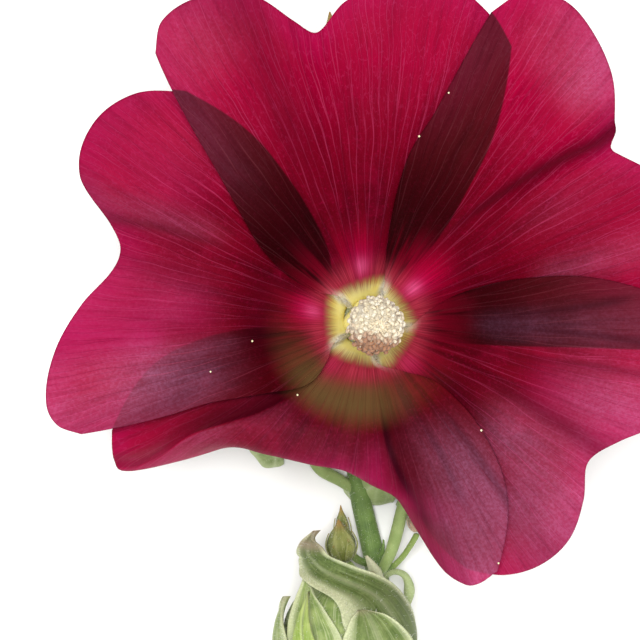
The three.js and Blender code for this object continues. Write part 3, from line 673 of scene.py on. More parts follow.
BLUSH = {
    "petal_1": [(176, 9, 22, 30, 0.5), (144, 7, 28, 38, 0.25), (184, 4.5, 31, 36, 0.6)],
    "petal_4": [(340, 7, 24, 32, 0.45)],
    "petal_5": [((275, 286.8), 2.0, 26, 31, 1.0), (292, 8, 40, 47, 0.3), (272, 5, 17, 24, 0.5)],
}
BAND_FADE = 6  # millimetres over which a band ends


def laid_bands(bands, angle, radius):
    """The strength of all the bands together at each point."""
    total = np.zeros_like(radius)
    for direction, half_width, begins, full, strength, *ends in bands:
        band = swelling(0, half_width, turn_between(line_at(direction, radius), angle))
        if ends:
            band = band * (1 - smooth_step(ends[0] - BAND_FADE, ends[0], radius))
        total = total + strength * band * smooth_step(begins, full, radius)
    return total


print("bands:", sum(len(bands) for kind in (PAINTED_SHEEN_BANDS, PAINTED_SHADE_BANDS, BLUSH) for bands in kind.values()))

# %% [markdown]
# The washes round the eye are rings, strongest at one distance from the foot. The pink glow lies
# over the middle of each claw, and the flush reaches further out along the same line.

# %% Washes round the eye
GLOW = {  # direction, strength
    "petal_1": (168, 0.85), "petal_2": (97, 1.05), "petal_3": (38, 1.0), "petal_4": (315, 0.45),
    "petal_5": (229, 0.3),
}
FLUSH = {  # reach, half width, strength
    "petal_1": (10.5, 3.6, 0.9), "petal_2": (12, 5, 0.7), "petal_3": (13, 5, 0.9),
    "petal_4": (10.5, 3.6, 0.4), "petal_5": (9.5, 3, 0.5),
}
EYE_REACH, EYE_CORNERS, EYE_SOFTNESS = 4.5, 1.4, 2.6
# The direction on which the painted shadow of the calyx is centred.
CALYX_SHADOW_AT = 249


def eye_paint(name, reach, angle, sideways):
    """sideways: 0 over the middle of the claw, 1 at its edges."""
    eye_end = EYE_REACH + EYE_CORNERS * sideways**1.8 + (0.7 if name == "petal_4" else 0)
    (glow_at, glow), (flush_at, flush_width, flush) = GLOW[name], FLUSH[name]
    off_glow = turn_between(glow_at, angle)
    # A ring of painted shadow, cast by the calyx behind the petals.
    calyx_shadow_ring = smooth_step(7.6, 12.8, reach) * (1 - smooth_step(14.6, 20.2, reach))
    return {
        "eye": 1 - smooth_step(-EYE_SOFTNESS, EYE_SOFTNESS, reach - eye_end),
        "tuft": smooth_step(0.74, 0.97, sideways) * swelling(4.2, 2.7, reach),
        "fringe": 1.25 * swelling(7.9, 2.8, reach),
        "glow": glow * swelling(9.2, 2.9, reach) * swelling(0, 9, off_glow),
        "flush": flush * swelling(flush_at, flush_width, reach) * swelling(0, 15, off_glow),
        "olive": calyx_shadow_ring * np.clip(1.25 * swelling(0, 42, turn_between(CALYX_SHADOW_AT, angle)), 0, 1),
    }


print("strongest glow:", max(GLOW, key=lambda name: GLOW[name][1]))

# %% [markdown]
# The folded petal has three values of its own: how far a point lies above the fold line, how
# much painted shade lies in the hollow above the line, and how much painted sheen lies on the
# crest below it. Its neighbour also lies over it, and a painted shadow darkens it a little beyond
# the neighbour's own edge.

# %% All painted values of a petal
def fold_paint(reach, angle, radius):
    above, sharp = above_fold(reach, angle)
    x = radius * np.cos(np.radians(angle))
    # Painted shade in the hollow above the fold line, and painted sheen on the crest below it.
    hollow = sharp * (1 - 0.6 * smooth_step(-22, -36, x))
    crest = sharp * (0.1 + 0.4 * smooth_step(-19, -28, x)) * (1 - 0.6 * smooth_step(-30, -40, x))
    return {"fold": np.clip(above, -9, 9), "hollow": hollow, "crest": crest}


def petal_paint(name, petal, reach, turn, across, rim_gap):
    angle = petal["axis"] + turn
    radius = read_table(RADIUS_TABLE, reach, angle)
    over = CLOCKWISE_OF[name]
    below = [other for other, above in CLOCKWISE_OF.items() if above == name][0]
    lapped = {other: inside_outline(PETALS[other], reach, angle) for other in (below, over)}
    # Bands of painted sheen, painted shade and blush.
    silk, furrow, blush = (laid_bands(kind.get(name, []), angle, radius) for kind in (PAINTED_SHEEN_BANDS, PAINTED_SHADE_BANDS, BLUSH))
    folded = {"fold": 0, "hollow": 0, "crest": 0}
    if name == "petal_5":
        folded = fold_paint(reach, angle, radius)
        # A painted shadow just beyond the edge of the neighbour that lies over this petal.
        edge_shade = swelling(0, 2.2, np.minimum(lapped[over], 0)) * smooth_step(14, 24, reach)
        furrow = np.maximum(furrow, 0.35 * edge_shade)
        past_fold = reach - FOLD_MIDDLE(turn_between(FOLD_AT, angle))
        blush = blush + swelling(4.5, 3, past_fold) * swelling(262, 26, angle)
    return {
        "reach": reach, "fan": turn, "radius": radius, "rim_gap": rim_gap,
        "cover": np.maximum(lapped[below], lapped[over]),
        "silk": silk, "furrow": np.clip(furrow, 0, 1), "blush": np.clip(blush, 0, 1),
        **folded, **eye_paint(name, reach, angle, abs(2 * across - 1)),
    }


# %% [markdown]
# The claws don't quite meet. Their margins carry dense white hairs that cross the five slits
# between them and keep the nectar below dry. The hairs stand on both side edges of each petal.
# Blender's hair curves could be combed the same way. Small cones are made instead, because they
# are real mesh.

# %% Hairs on the claws
CLAW_HAIRS = 300


def claw_hairs(petal):
    count = CLAW_HAIRS
    reach = chance.normal(3.6, 1.3, count).clip(0.6, 6.6)
    side = chance.choice([-1.0, 1.0], count)
    edge = np.where(side > 0, petal["left"](reach), petal["right"](reach))
    turn = edge - side * chance.uniform(0, 2, count)
    roots = bloom_point(reach, petal["axis"] + turn, 0.75)
    over = bloom_point(reach + chance.normal(0, 0.5, count), petal["axis"] + turn + side * 7, 1.0)
    ways = unit(over - roots + chance.normal(0, 0.25, (count, 3)))
    return cones(roots, ways, chance.uniform(0.5, 1.2, count), 0.05)


# %% [markdown]
# A little pollen has dropped on the petals. Each clump is a bead of three or four tenths of a
# millimetre, laid on the petal's upper face. A sphere primitive would do as well.

# %% Fallen pollen
POLLEN = {  # reach and direction of each clump
    "petal_1": [(21.2, 188.7), (29.2, 196.9)], "petal_3": [(33.5, 75.4), (41.2, 71.3)],
    "petal_5": [(16.3, 221.9), (17.8, 225), (27.5, 316), (45.5, 298)],
}


def bead(centre, radius):
    turns = np.linspace(0, 2 * np.pi, 8, endpoint=False)
    around, down_to = np.meshgrid(turns, np.linspace(0.2, 2.94, 6))
    out = np.sin(down_to)
    way = np.stack([out * np.cos(around), out * np.sin(around), -np.cos(down_to)], -1)
    return closed_lathe(centre + radius * way)


def fallen_pollen(name, petal):
    beads = []
    for reach, angle in POLLEN.get(name, []):
        lift = overlap_half(reach) * (angle - petal["axis"]) / 36 + ripple(reach, angle) + 0.35
        clump = bead(bloom_point(reach, angle, lift), chance.uniform(0.14, 0.22))
        beads.append(clump.painted(eye=1.0, tuft=0.7))
    return beads


print("clumps of pollen:", sum(len(places) for places in POLLEN.values()))

# %% [markdown]
# ## The petal's finish
#
# Look closely at a petal and the red is never even. Veins leave the claw side by side and fork
# again and again on their way to the rim. They are drawn by folding: the distance to the nearest
# main vein is folded once for each fork, which splits every line in two from there on. Near the
# rim, finer veins join up to a net. It is drawn where a stretched noise crosses its middle value,
# which gives winding, broken threads; the edges of Voronoi cells looked too much like paving.
# Tracing veins by hand or with an image would be truer to one petal, but this keeps them sharp at
# any distance and lets chance set where each one forks.

# %% The petal's veins
VEIN_SPACING = 9.5  # degrees between main veins at the claw
FORKS = ((2, 16, 0.25), (14, 34, 0.125), (30, 56, 0.0625))  # from, to, how far apart


def vein_distance(f):
    """Millimetres to the nearest vein."""
    bent_spot = f.place(f.times(f.fan, 0.06), f.times(f.reach, 0.05), f.shift)
    wandered = f.math("MULTIPLY_ADD", f.noise(bent_spot, 1.0, 2.0), 5.0, f.fan)
    late = f.noise(f.place(f.times(f.fan, 0.16), f.shift, 3.0), 1.0, 1.0)
    forked_reach = f.math("MULTIPLY_ADD", late, 34.0, f.math("SUBTRACT", f.reach, 17.0))
    cell = f.math("FRACT", f.math("MULTIPLY_ADD", wandered, 1 / VEIN_SPACING, 40.0))
    gap = f.math("ABSOLUTE", f.math("SUBTRACT", cell, 0.5))
    for start, end, spread in FORKS:
        opened = f.eased(forked_reach, start, end, 0.0, spread)
        gap = f.math("ABSOLUTE", f.math("SUBTRACT", gap, opened))
    return f.times(gap, f.radius, math.radians(VEIN_SPACING))


def rim_net(f):
    """How close a point is to the net of finest veins, 1 on a thread."""
    spot = f.place(f.times(f.fan, 1.1), f.times(f.reach, 0.45), f.shift)
    crests = f.math("ABSOLUTE", f.math("SUBTRACT", f.noise(spot, 1.0, 1.0, 0.4, 0.4), 0.5))
    return f.eased(crests, 0.0, 0.03, 1.0, 0.0)


# %% [markdown]
# Everything on a petal is drawn out along it, from the claw to the rim, so its streaks are noise
# that is stretched that way. `fan` is the direction on the petal and `reach` the distance along
# it. A `PetalTissue` is a finish that has these values and noises at hand.

# %% The grain of the tissue
def streaks_along(f, count, stretch, shift):
    """Noise drawn out along the petal, with about count streaks across it."""
    spot = f.place(f.times(f.fan, count / 95), f.times(f.reach, stretch), shift)
    return f.noise(spot, 1.0, 3.0, 0.6)


class PetalTissue(Finish):
    def __init__(self, name, shift):
        """shift moves the noise, so that no two petals are alike."""
        super().__init__(name)
        self.shift = shift
        self.reach, self.fan = self.paint("reach"), self.paint("fan")
        self.radius, self.rim_gap = self.paint("radius"), self.paint("rim_gap")
        self.fine = streaks_along(self, 75, 0.07, shift)
        self.broad = streaks_along(self, 15, 0.035, shift + 4)
        self.mottle = self.noise(self.where(), 0.16, 4.0, 0.55)
        self.cells = self.noise(self.where(), 2.2, 2.0, 0.6)
        self.vein = self.eased(vein_distance(self), 0.01, 0.13, 1.0, 0.0)


# %% [markdown]
# The colours go on in washes, from the broadest to the finest. First comes a deep crimson near the
# throat that brightens outwards, with dark streaks, and the veins over it.

# %% Crimson and veins
def crimson_ground(f):
    base = f.mix(f.eased(f.reach, 17.0, 33.0), shade("#52000c"), shade("#74001a"))
    base = f.wash(base, "#9c0031", f.eased(f.reach, 29.0, 50.0))
    base = f.wash(base, "#b8105a", f.eased(f.rim_gap, 0.0, 7.0, 0.3, 0.0), f.eased(f.reach, 28.0, 44.0))
    base = f.wash(base, "#40010c", f.eased(f.broad, 0.44, 0.68), f.eased(f.reach, 14.0, 46.0, 0.6, 0.12))
    base = f.wash(base, "#5a0116", f.eased(f.fine, 0.46, 0.7), f.eased(f.reach, 14.0, 50.0, 0.5, 0.28))
    base = f.wash(base, "#b4083e", f.eased(f.mottle, 0.5, 0.8, 0.0, 0.22))
    return f.wash(base, "#c00c4c", f.eased(f.cells, 0.5, 0.8, 0.0, 0.16))


def veins_over(f, base, strength):
    faint = f.eased(streaks_along(f, 30, 0.05, f.shift + 9), 0.35, 0.65, 0.15, 1.0)
    stronger_outside = f.eased(f.reach, 10.0, 40.0, 0.15 * strength, 0.34 * strength)
    base = f.wash(base, "#e04c80", f.vein, faint, stronger_outside)
    return f.wash(base, "#d84888", rim_net(f), f.eased(f.reach, 22.0, 46.0, 0.02, 0.11))


# %% [markdown]
# Where a neighbour lies over or under the petal, painted shade darkens the colour by a
# multiplication, the way a second sheet of tissue filters the light, and further out a faint
# painted sheen lies in it. Furrows and the hollow above the fold get darker painted shade. A
# painted sheen is added last, as light on top of the colour.

# %% Painted shade of overlaps and furrows, and painted sheen
def neighbour_shadow(f, base, lap_inner, lap_outer):
    """The darkened colour, and where the petals overlap."""
    # Painted shade where a neighbour lies over or under the petal: the colour is multiplied darker.
    lapped = f.times(f.eased(f.paint("cover"), -0.15, 0.25), f.eased(f.reach, 6.0, 13.0))
    red_kept = f.eased(f.reach, 22.0, 44.0, lap_inner, lap_outer)
    green_kept = f.math("MULTIPLY_ADD", red_kept, 0.6, 0.35)
    blue_kept = f.math("MULTIPLY_ADD", red_kept, 0.7, 0.05)
    overlap_shade_colour = f.node("CombineColor", {0: red_kept, 1: green_kept, 2: blue_kept})
    base = f.over("MULTIPLY", lapped, base, overlap_shade_colour)
    # A faint painted sheen in the overlap, stronger further out.
    overlap_sheen = f.times(lapped, f.eased(f.fine, 0.3, 0.7, 1.2, 0.6), f.eased(f.reach, 22.0, 40.0, 0.1, 1.0))
    return f.over("ADD", overlap_sheen, base, (0.005, 0.003, 0.002, 1.0)), lapped


def painted_shade_and_sheen(f, base, lapped):
    fold = f.paint("fold")
    # Painted shade in the hollow above the fold line.
    above = f.times(f.eased(fold, -0.12, 0.25), f.eased(fold, 0.6, 5.0, 1.0, 0.35), f.paint("hollow"))
    # Painted sheen on the crest below the fold line.
    below = f.times(f.eased(fold, -0.3, -0.05, 1.0, 0.0), f.eased(fold, -7.0, -0.3), f.paint("crest"))
    # All the painted shade: its bands and the hollow above the fold.
    dark = f.math("MAXIMUM", f.paint("furrow"), above)
    base = f.wash(base, "#42010f", dark, 0.85)
    base = f.over("MULTIPLY", f.times(dark, lapped), base, (0.45, 0.55, 0.55, 1.0))
    base = f.wash(base, "#a4044a", f.paint("blush"), f.eased(f.fine, 0.3, 0.7, 0.9, 0.6))
    # Painted sheen from the bands and the crest, weaker where painted shade lies.
    silk = f.times(f.math("ADD", below, f.paint("silk")), f.math("MULTIPLY_ADD", dark, -0.75, 1.0))
    silk = f.times(silk, f.eased(f.fine, 0.3, 0.7, 1.2, 0.75), f.eased(f.cells, 0.35, 0.65, 0.75, 1.25),
                   f.eased(f.mottle, 0.3, 0.7, 0.8, 1.15))
    return f.over("ADD", silk, base, (0.056, 0.04, 0.074, 1.0))


# %% [markdown]
# Round the eye lie dark red rays, the painted olive shadow of the calyx, flush, fringe and glow,
# and the yellow-green itself. Its border is torn by the fine streaks, so that it runs out in
# points between the veins.
# White is painted at the corners, under the tufts of hairs.

# %% The eye
def eye_washes(f, base):
    near_eye = f.eased(f.reach, 8.0, 22.0, 0.6, 0.0)
    base = f.wash(base, "#8c0424", f.eased(f.broad, 0.4, 0.56, 1.0, 0.0), near_eye)
    # Painted olive-brown shadow of the calyx behind the petal.
    base = f.wash(base, "#66502e", f.paint("olive"), f.eased(f.fine, 0.3, 0.7, 1.0, 0.75))
    base = f.wash(base, "#b80238", f.paint("flush"), f.eased(f.fine, 0.35, 0.6, 0.9, 0.5))
    base = f.wash(base, "#c03c52", f.paint("fringe"), f.eased(f.fine, 0.3, 0.65, 0.75, 0.3))
    glow = f.paint("glow")
    pink = f.mix(f.eased(glow, 0.15, 1.35), shade("#c81464"), shade("#f4629c"))
    base = f.mix(f.times(glow, f.eased(f.fine, 0.3, 0.6, 0.95, 0.5)), base, pink)
    eye = f.paint("eye")
    border = f.times(eye, f.math("SUBTRACT", 1.0, eye), f.eased(f.fine, 0.3, 0.7, -0.8, 0.8))
    yellow = f.mix(f.eased(f.mottle, 0.35, 0.65), shade("#f6e67e"), shade("#fdf6ac"))
    base = f.mix(f.math("ADD", eye, border, clamp=True), base, yellow)
    return f.wash(base, "#fbf8ea", f.paint("tuft"), f.eased(f.cells, 0.3, 0.6, 0.5, 0.9))


# %% [markdown]
# The washes come together here. The tissue lets light through, so a part of the shading is a
# Translucent shader with the same colour. Down lets even more through: it is white or cream, with
# a little noise in its tint.

# %% The finished tissue and its down
def petal_finish(name, shift, lap_inner, lap_outer, gloss, vein_strength):
    """lap_inner and lap_outer: how much red an overlap keeps, near the throat and outside."""
    f = PetalTissue(name, shift)
    base = veins_over(f, crimson_ground(f), vein_strength)
    base, lapped = neighbour_shadow(f, base, lap_inner, lap_outer)
    base = eye_washes(f, painted_shade_and_sheen(f, base, lapped))
    height = f.math("MULTIPLY_ADD", f.fine, 0.4, f.times(f.vein, -0.25))
    normal = f.relief(f.times(height, f.eased(f.reach, 5.0, 12.0)), 0.22)
    roughness = f.eased(f.mottle, 0.3, 0.7, 0.42, 0.58)
    skin = f.surface(base, roughness, normal, gloss, shade("#c76a92"), gloss * 0.4)
    return f.done(skin, base, through=0.25)


def down_finish(name, colour, through):
    f = Finish(name)
    tint = f.mix(f.noise(f.where(), 1.5), shade(colour), shade("#ffffff"))
    return f.done(f.surface(tint, 0.6, None, 0.2), tint, through)


pale_down = down_finish("pale_down", "#f8f8f0", 0.4)
claw_down = down_finish("claw_down", "#fffae0", 0.65)

# %% The five petals
PETAL_LOOK = {  # lap_inner, lap_outer, gloss, vein_strength
    "petal_1": (0.52, 0.72, 0.05, 0.7), "petal_2": (0.2, 0.3, 0.04, 0.75),
    "petal_3": (0.24, 0.27, 0.04, 0.7), "petal_4": (0.28, 0.36, 0.06, 0.75),
    "petal_5": (0.92, 0.62, 0.06, 0.35),
}
for number, (name, petal) in enumerate(PETALS.items()):
    finish = petal_finish("petal_tissue_" + name[-1], 5.0 * number, *PETAL_LOOK[name])
    sheet = together([petal_sheet(name, petal), claw_hairs(petal), *fallen_pollen(name, petal)])
    finished_piece("bloom_" + name, sheet, "petal", [name], finish, claw_down)

# %% [markdown]
# ## Green finishes
#
# Stalk, leaves, sepals and buds are all green, but none of them alike. A fresh stalk is smooth
# with long pale streaks, a leaf is matt and wrinkled between its veins, and a sepal fades to a
# pale, thin margin. One recipe with a few named differences serves them all: a light and a dark
# green broken up by noise, mossy where `tone` is painted, paler where `margin` is and browner
# where `dry` is.

# %% Green finishes
def green_finish(name, dark, light, pale, dry, moss="#55652f", streak=0.0, depth=0.12, sheen=0.35):
    f = Finish(name)
    spot, tone = f.where(), f.paint("tone")
    patches = f.noise(spot, 0.35, 4.0, 0.6)
    specks = f.noise(spot, 2.6, 3.0, 0.65)
    lines = f.noise(f.place(f.times(f.paint("across"), 40.0), f.times(f.paint("along"), 3.0)), 1.0, 2.0)
    base = f.mix(f.eased(patches, 0.3, 0.7), shade(dark), shade(light))
    base = f.wash(base, moss, tone, f.eased(specks, 0.3, 0.7, 0.95, 0.7))
    calm = f.math("MULTIPLY_ADD", tone, -0.8, 1.0)
    base = f.wash(base, pale, f.eased(lines, 0.45, 0.7), calm, streak)
    base = f.wash(base, pale, f.paint("vein"), 0.55)
    base = f.wash(base, pale, f.eased(specks, 0.55, 0.8), calm, 0.3)
    base = f.wash(base, pale, f.paint("margin"), f.eased(specks, 0.3, 0.65, 1.0, 0.65))
    base = f.wash(base, dry, f.paint("dry"))
    height = f.math("ADD", f.times(specks, 0.6), f.times(f.paint("vein"), -0.6))
    roughness = f.eased(specks, 0.3, 0.7, 0.55, 0.8)
    skin = f.surface(base, roughness, f.relief(height, depth), sheen, shade("#dfe6c8"), 0.35)
    return f.done(skin, base, through=0.15)


stalk_skin = green_finish("stalk_skin", "#506c30", "#6f8c46", "#acc282", "#8c7048",
                          moss="#a9bd6a", streak=0.3, sheen=0.25)
leaf_skin = green_finish("leaf_skin", "#86995e", "#aaba7e", "#d0dab0", "#a58a4c",
                         moss="#84a23c", depth=0.25)
scale_skin = green_finish("scale_skin", "#97a56c", "#b8c08e", "#e4e2c4", "#a58a5c")
calyx_skin = green_finish("calyx_skin", "#7d9350", "#a3b572", "#dfe2b8", "#a5875a", streak=0.3)
withered_skin = green_finish("withered_skin", "#728a46", "#a0b26a", "#d8ddb2", "#a09078",
                             moss="#42541c", streak=0.45, sheen=0.15)
bud_skin = green_finish("bud_skin", "#5c6828", "#848a44", "#bcbd80", "#a06a34", streak=0.3, sheen=0.2)
dry_skin = green_finish("dry_skin", "#9c7a5c", "#c9a58a", "#e6cdb8", "#3b3234", streak=0.4)
young_green = green_finish("young_green", "#7f9c38", "#a2b854", "#cfd79a", "#b08a50", streak=0.4)
greens = (stalk_skin, leaf_skin, scale_skin, calyx_skin, withered_skin, bud_skin, dry_skin, young_green)
print("green finishes:", ", ".join(green.name for green in greens))

# %% [markdown]
# ## Calyx and epicalyx
#
# Behind the petals sits the calyx, a cup with five broad pointed lobes, and outside it the
# epicalyx with seven narrow ones. They are modelled as one sheet each, all the way round: a
# floor from the pole to the foot of the corolla, then the lobes, which follow the back of the
# petals. Both are thickly downy.

# %% Calyx and epicalyx
def lobed_cup(lobes, first, notch, tip, lift, deepen, half=0.3):
    """notch and tip: how far the cup reaches between and along its lobes, in millimetres."""
    columns, rows, floor_rows = lobes * 36 + 1, 40, 8
    angle = first + np.linspace(0, 360, columns)[None, :]
    row = np.arange(rows)[:, None]
    spacing = 360 / lobes
    offset = abs((angle - first + spacing / 2) % spacing - spacing / 2) / (spacing / 2)
    share = np.clip((row - floor_rows) / (rows - 1 - floor_rows), 0, 1)
    reach = share * (notch + (tip - notch) * (1 - offset**1.25))
    rib = swelling(0, 0.09, offset) * smooth_step(0.2, 0.6, share) * 0.15

    def face(side):
        around = lift + side * half * (1 - 0.6 * share**4) + (0 if side > 0 else -rib)
        directions = angle + 0 * reach
        lobe = bloom_point(reach, directions, around - deepen * smooth_step(2, 12, reach))
        bow = np.clip(row / floor_rows, 0, 1) * np.pi / 2
        edge = bloom_point(0 * reach, directions, around)
        out = np.hypot(edge[..., 0], edge[..., 1]) * np.sin(bow)
        height = BLOOM_HEIGHT + around + (edge[..., 2] - BLOOM_HEIGHT - around) * (1 - np.cos(bow))
        turn = np.radians(angle)
        floor = np.stack([out * np.cos(turn), out * np.sin(turn), height], -1)
        return np.where((row < floor_rows)[..., None], floor, lobe)

    pale = np.maximum(smooth_step(0.86, 1.0, share) * 0.8, 1 - smooth_step(0.2, 0.5, share))
    return thin_sheet(face(1), face(-1), across=(angle - first) / 360 * lobes, along=share,
                      margin=pale, vein=rib / 0.15)


for name, cup in (("calyx", lobed_cup(5, 65, 9.5, 24, -1.7, 1.3)),
                  ("epicalyx", lobed_cup(7, 12, 5.5, 16, -2.9, 2.6))):
    fuzz = down(cup, 900, 0.7, 0.035)
    finished_piece("downy_" + name, together([cup, fuzz]), "calyx", [name], calyx_skin, pale_down)

# %% [markdown]
# ## The staminal column and its anthers
#
# In a hollyhock the stamens are grown together into a tube round the style. The tube flares at
# its foot where it joins the petals, and leans and sags a little under the weight of its head.

# %% The staminal column
LEAN, SAG = math.radians(4), 0.4


def leaned(points):
    """Heights above the foot of the bloom, leaned over to +X and set in place."""
    x, y, z = np.moveaxis(np.asarray(points, float), -1, 0)
    turned = [x * math.cos(LEAN) + z * math.sin(LEAN), y, z * math.cos(LEAN) - x * math.sin(LEAN)]
    sag = -SAG * smooth_step(8, 15, z)
    return np.stack(turned, -1) + np.stack([0 * sag, sag, BLOOM_HEIGHT + 0 * sag], -1)


def fluted(along, angle):
    """Five shallow ribs at the foot, one for each petal."""
    return 1 + 0.07 * np.cos(5 * angle) * (1 - smooth_step(0.1, 0.5, along))


column_path = leaned([(0, 0, -0.75), (0, 0, 2), (0, 0, 5), (0, 0, 8), (0, 0, 10.4), (0, 0, 13)])
column = tube(column_path, [3.95, 3.6, 2.4, 1.9, 1.75, 1.65, 1.5, 1.2], 40, 40, fluted)

f = Finish("column_skin")
cream = f.mix(f.noise(f.where(), 0.5, 3.0), shade("#fbf090"), shade("#fff6b4"))
cream = f.wash(cream, "#e9d9bb", f.eased(f.paint("along"), 0.55, 0.95))
skin = f.surface(cream, 0.5, f.relief(f.noise(f.where(), 3.0), 0.08), 0.2)
column_skin = f.done(skin, cream, through=0.2)
print("the column's widest radius:", column.points[:, 1].max().round(2), "mm")

# %% [markdown]
# At the top of the tube the filaments come free, each with a kidney-shaped anther dusty with
# pollen, and together they make a knobbly cream ball. The anthers are painted browner towards the
# lower left. One anther could be instanced over a sphere with geometry nodes. Here each is a
# bent bean of its own size, at a place that follows a golden-angle spiral, because that fills a
# ball evenly with no rows.

# %% The shape of an anther
ANTHER_COUNT, STYLE_COUNT = 250, 11
GOLDEN_TURN = 3 - math.sqrt(5)  # in half turns
BALL_BASE, BALL_TOP, BALL_RADIUS = 10.4, 19.3, 4.4
ball_outline = curve_through([(0, 0.5), (0.2, 0.88), (0.45, 1), (0.7, 0.86), (0.88, 0.54), (1, 0.1)])


def bean(length, width):
    """A kidney shape: a ball drawn out, bent and creased where it splits open."""
    around, down_to = np.meshgrid(np.linspace(0, 2 * np.pi, 15)[:-1], np.linspace(0, np.pi, 9)[1:-1])
    x = np.cos(down_to) * length / 2
    round_x = np.sin(down_to) ** 0.8 * width / 2
    crease = 1 - 0.22 * swelling(0, 0.5, np.angle(np.exp(1j * (around - np.pi / 2))))
    y, z = round_x * np.cos(around), round_x * np.sin(around) * crease
    z = z - 1.1 / length * x**2
    ends = np.array([[length / 2, 0, -0.28 * length], [-length / 2, 0, -0.28 * length]])
    points = np.concatenate([np.stack([x, y, z], -1).reshape(-1, 3), ends])
    return points, [(first, *rest[::-1]) for first, *rest in ring_faces(*x.shape)]  # turned outwards


def turned_to(points, outward, spin):
    """Points modelled with +Z outwards, turned to a direction and spun about it."""
    outward = unit(np.asarray(outward, float))
    across = unit(np.cross(outward, [0.3, 0.2, 1.0] if abs(outward[2]) < 0.9 else [0.0, 1.0, 0.2]))
    other = np.cross(outward, across)
    first = across * math.cos(spin) + other * math.sin(spin)
    second = np.cross(outward, first)
    return points @ np.stack([first, second, outward])


def browner_at_lower_left(x, y):
    """Browner towards the lower left, give or take."""
    down_left = -(0.98 * y + 0.14 * x) / BALL_RADIUS
    return smooth_step(0.2, 0.62, down_left + chance.normal(0, 0.12, np.shape(y)))


# %% A lumpy core, so that no gap shows through the ball
share, angle = np.meshgrid(np.linspace(0, 1, 40), np.linspace(0, 2 * np.pi, 64, endpoint=False),
                           indexing="ij")
lumps = 0.95 + 0.04 * np.sin(9 * angle + 20 * share) + 0.03 * np.sin(14 * angle - 31 * share)
radius = BALL_RADIUS * ball_outline(share) * lumps
height = BALL_BASE + 0.4 + (BALL_TOP - BALL_BASE - 0.9) * share
core = np.stack([radius * np.cos(angle), radius * np.sin(angle), height], -1)
core = closed_lathe(leaned(core), older=browner_at_lower_left(core[..., 0], core[..., 1]), tint=0.4)

# %% Anthers on their filaments
anthers, filaments = [core], []
for k in range(ANTHER_COUNT):
    share = (k + 0.5) / ANTHER_COUNT
    angle = k * math.pi * GOLDEN_TURN + chance.normal(0, 0.08)
    radius = BALL_RADIUS * float(ball_outline(share)) * chance.uniform(0.9, 1.09)
    height = BALL_BASE + (BALL_TOP - BALL_BASE) * share
    spot = np.array([radius * math.cos(angle), radius * math.sin(angle), height])
    outward = spot - [0, 0, BALL_BASE + 2.2 + 1.6 * share]
    points, faces = bean(chance.uniform(0.95, 1.3), chance.uniform(0.52, 0.75))
    points = leaned(turned_to(points, outward, chance.uniform(0, math.pi)) + spot)
    anthers.append(Shape(points, faces, older=browner_at_lower_left(spot[0], spot[1]), tint=chance.uniform(0, 1)))
    root = [0.25 * spot[0], 0.25 * spot[1], BALL_BASE + 0.55 * (spot[2] - BALL_BASE)]
    filaments.append(tube(leaned([root, spot * [0.7, 0.7, 0.97], spot]), [0.16, 0.13, 0.1], 6, 5))

# %% Styles, which come out between the uppermost anthers
styles = []
for k in range(STYLE_COUNT):
    angle = 2 * math.pi * k / STYLE_COUNT
    way = np.array([math.cos(angle), math.sin(angle), 0])
    reach = chance.uniform(0.8, 1.5)
    line = [way * out + [0, 0, height] for out, height in ((0.3, 17), (0.6, 18.8), (reach, 19.7),
                                                           (reach + 0.5, 19.4))]
    styles.append(tube(leaned(line), [0.2, 0.16, 0.13, 0.07], 8, 12))

# %% [markdown]
# An anther's finish is cream with a tint of its own, browner towards the lower left, and dusted
# with pollen. The dust is a Voronoi pattern, because pollen lies in single round grains.

# %% The anthers' finish
f = Finish("pollen_dusted_anther")
grains = f.node("TexVoronoi", {0: f.where(), 2: 5.5}, 0)
dust = f.eased(grains, 0.05, 0.5, 1.0, 0.0)
cream = f.mix(f.paint("tint"), shade("#f6e8c8"), shade("#fff8e4"))
# Browner towards the lower left.
cream = f.wash(cream, "#ae6e42", f.paint("older"), 0.9)
cream = f.wash(cream, "#fffbe9", dust, 0.35)
anther_skin = f.done(f.surface(cream, 0.7, f.relief(dust, 0.12), 0.3), cream, through=0.3)

finished_piece("column_tube", together([column, *filaments]), "column", ["staminal_column"], column_skin)
finished_piece("anther_ball", together([*anthers, *styles]), "anther", ["anthers"], anther_skin)

# %% [markdown]
# ## Stalk and side shoots
#
# The stalk is one growth: the side shoots swell out of it and don't merely touch it. Crossing
# tubes would leave a hard line round each joint. So all tubes are joined with the Remesh
# modifier's voxel mode, which melts them into one skin, and smoothed. Sculpting or metaballs
# would work too, but remeshing keeps the sizes that the tubes were given.

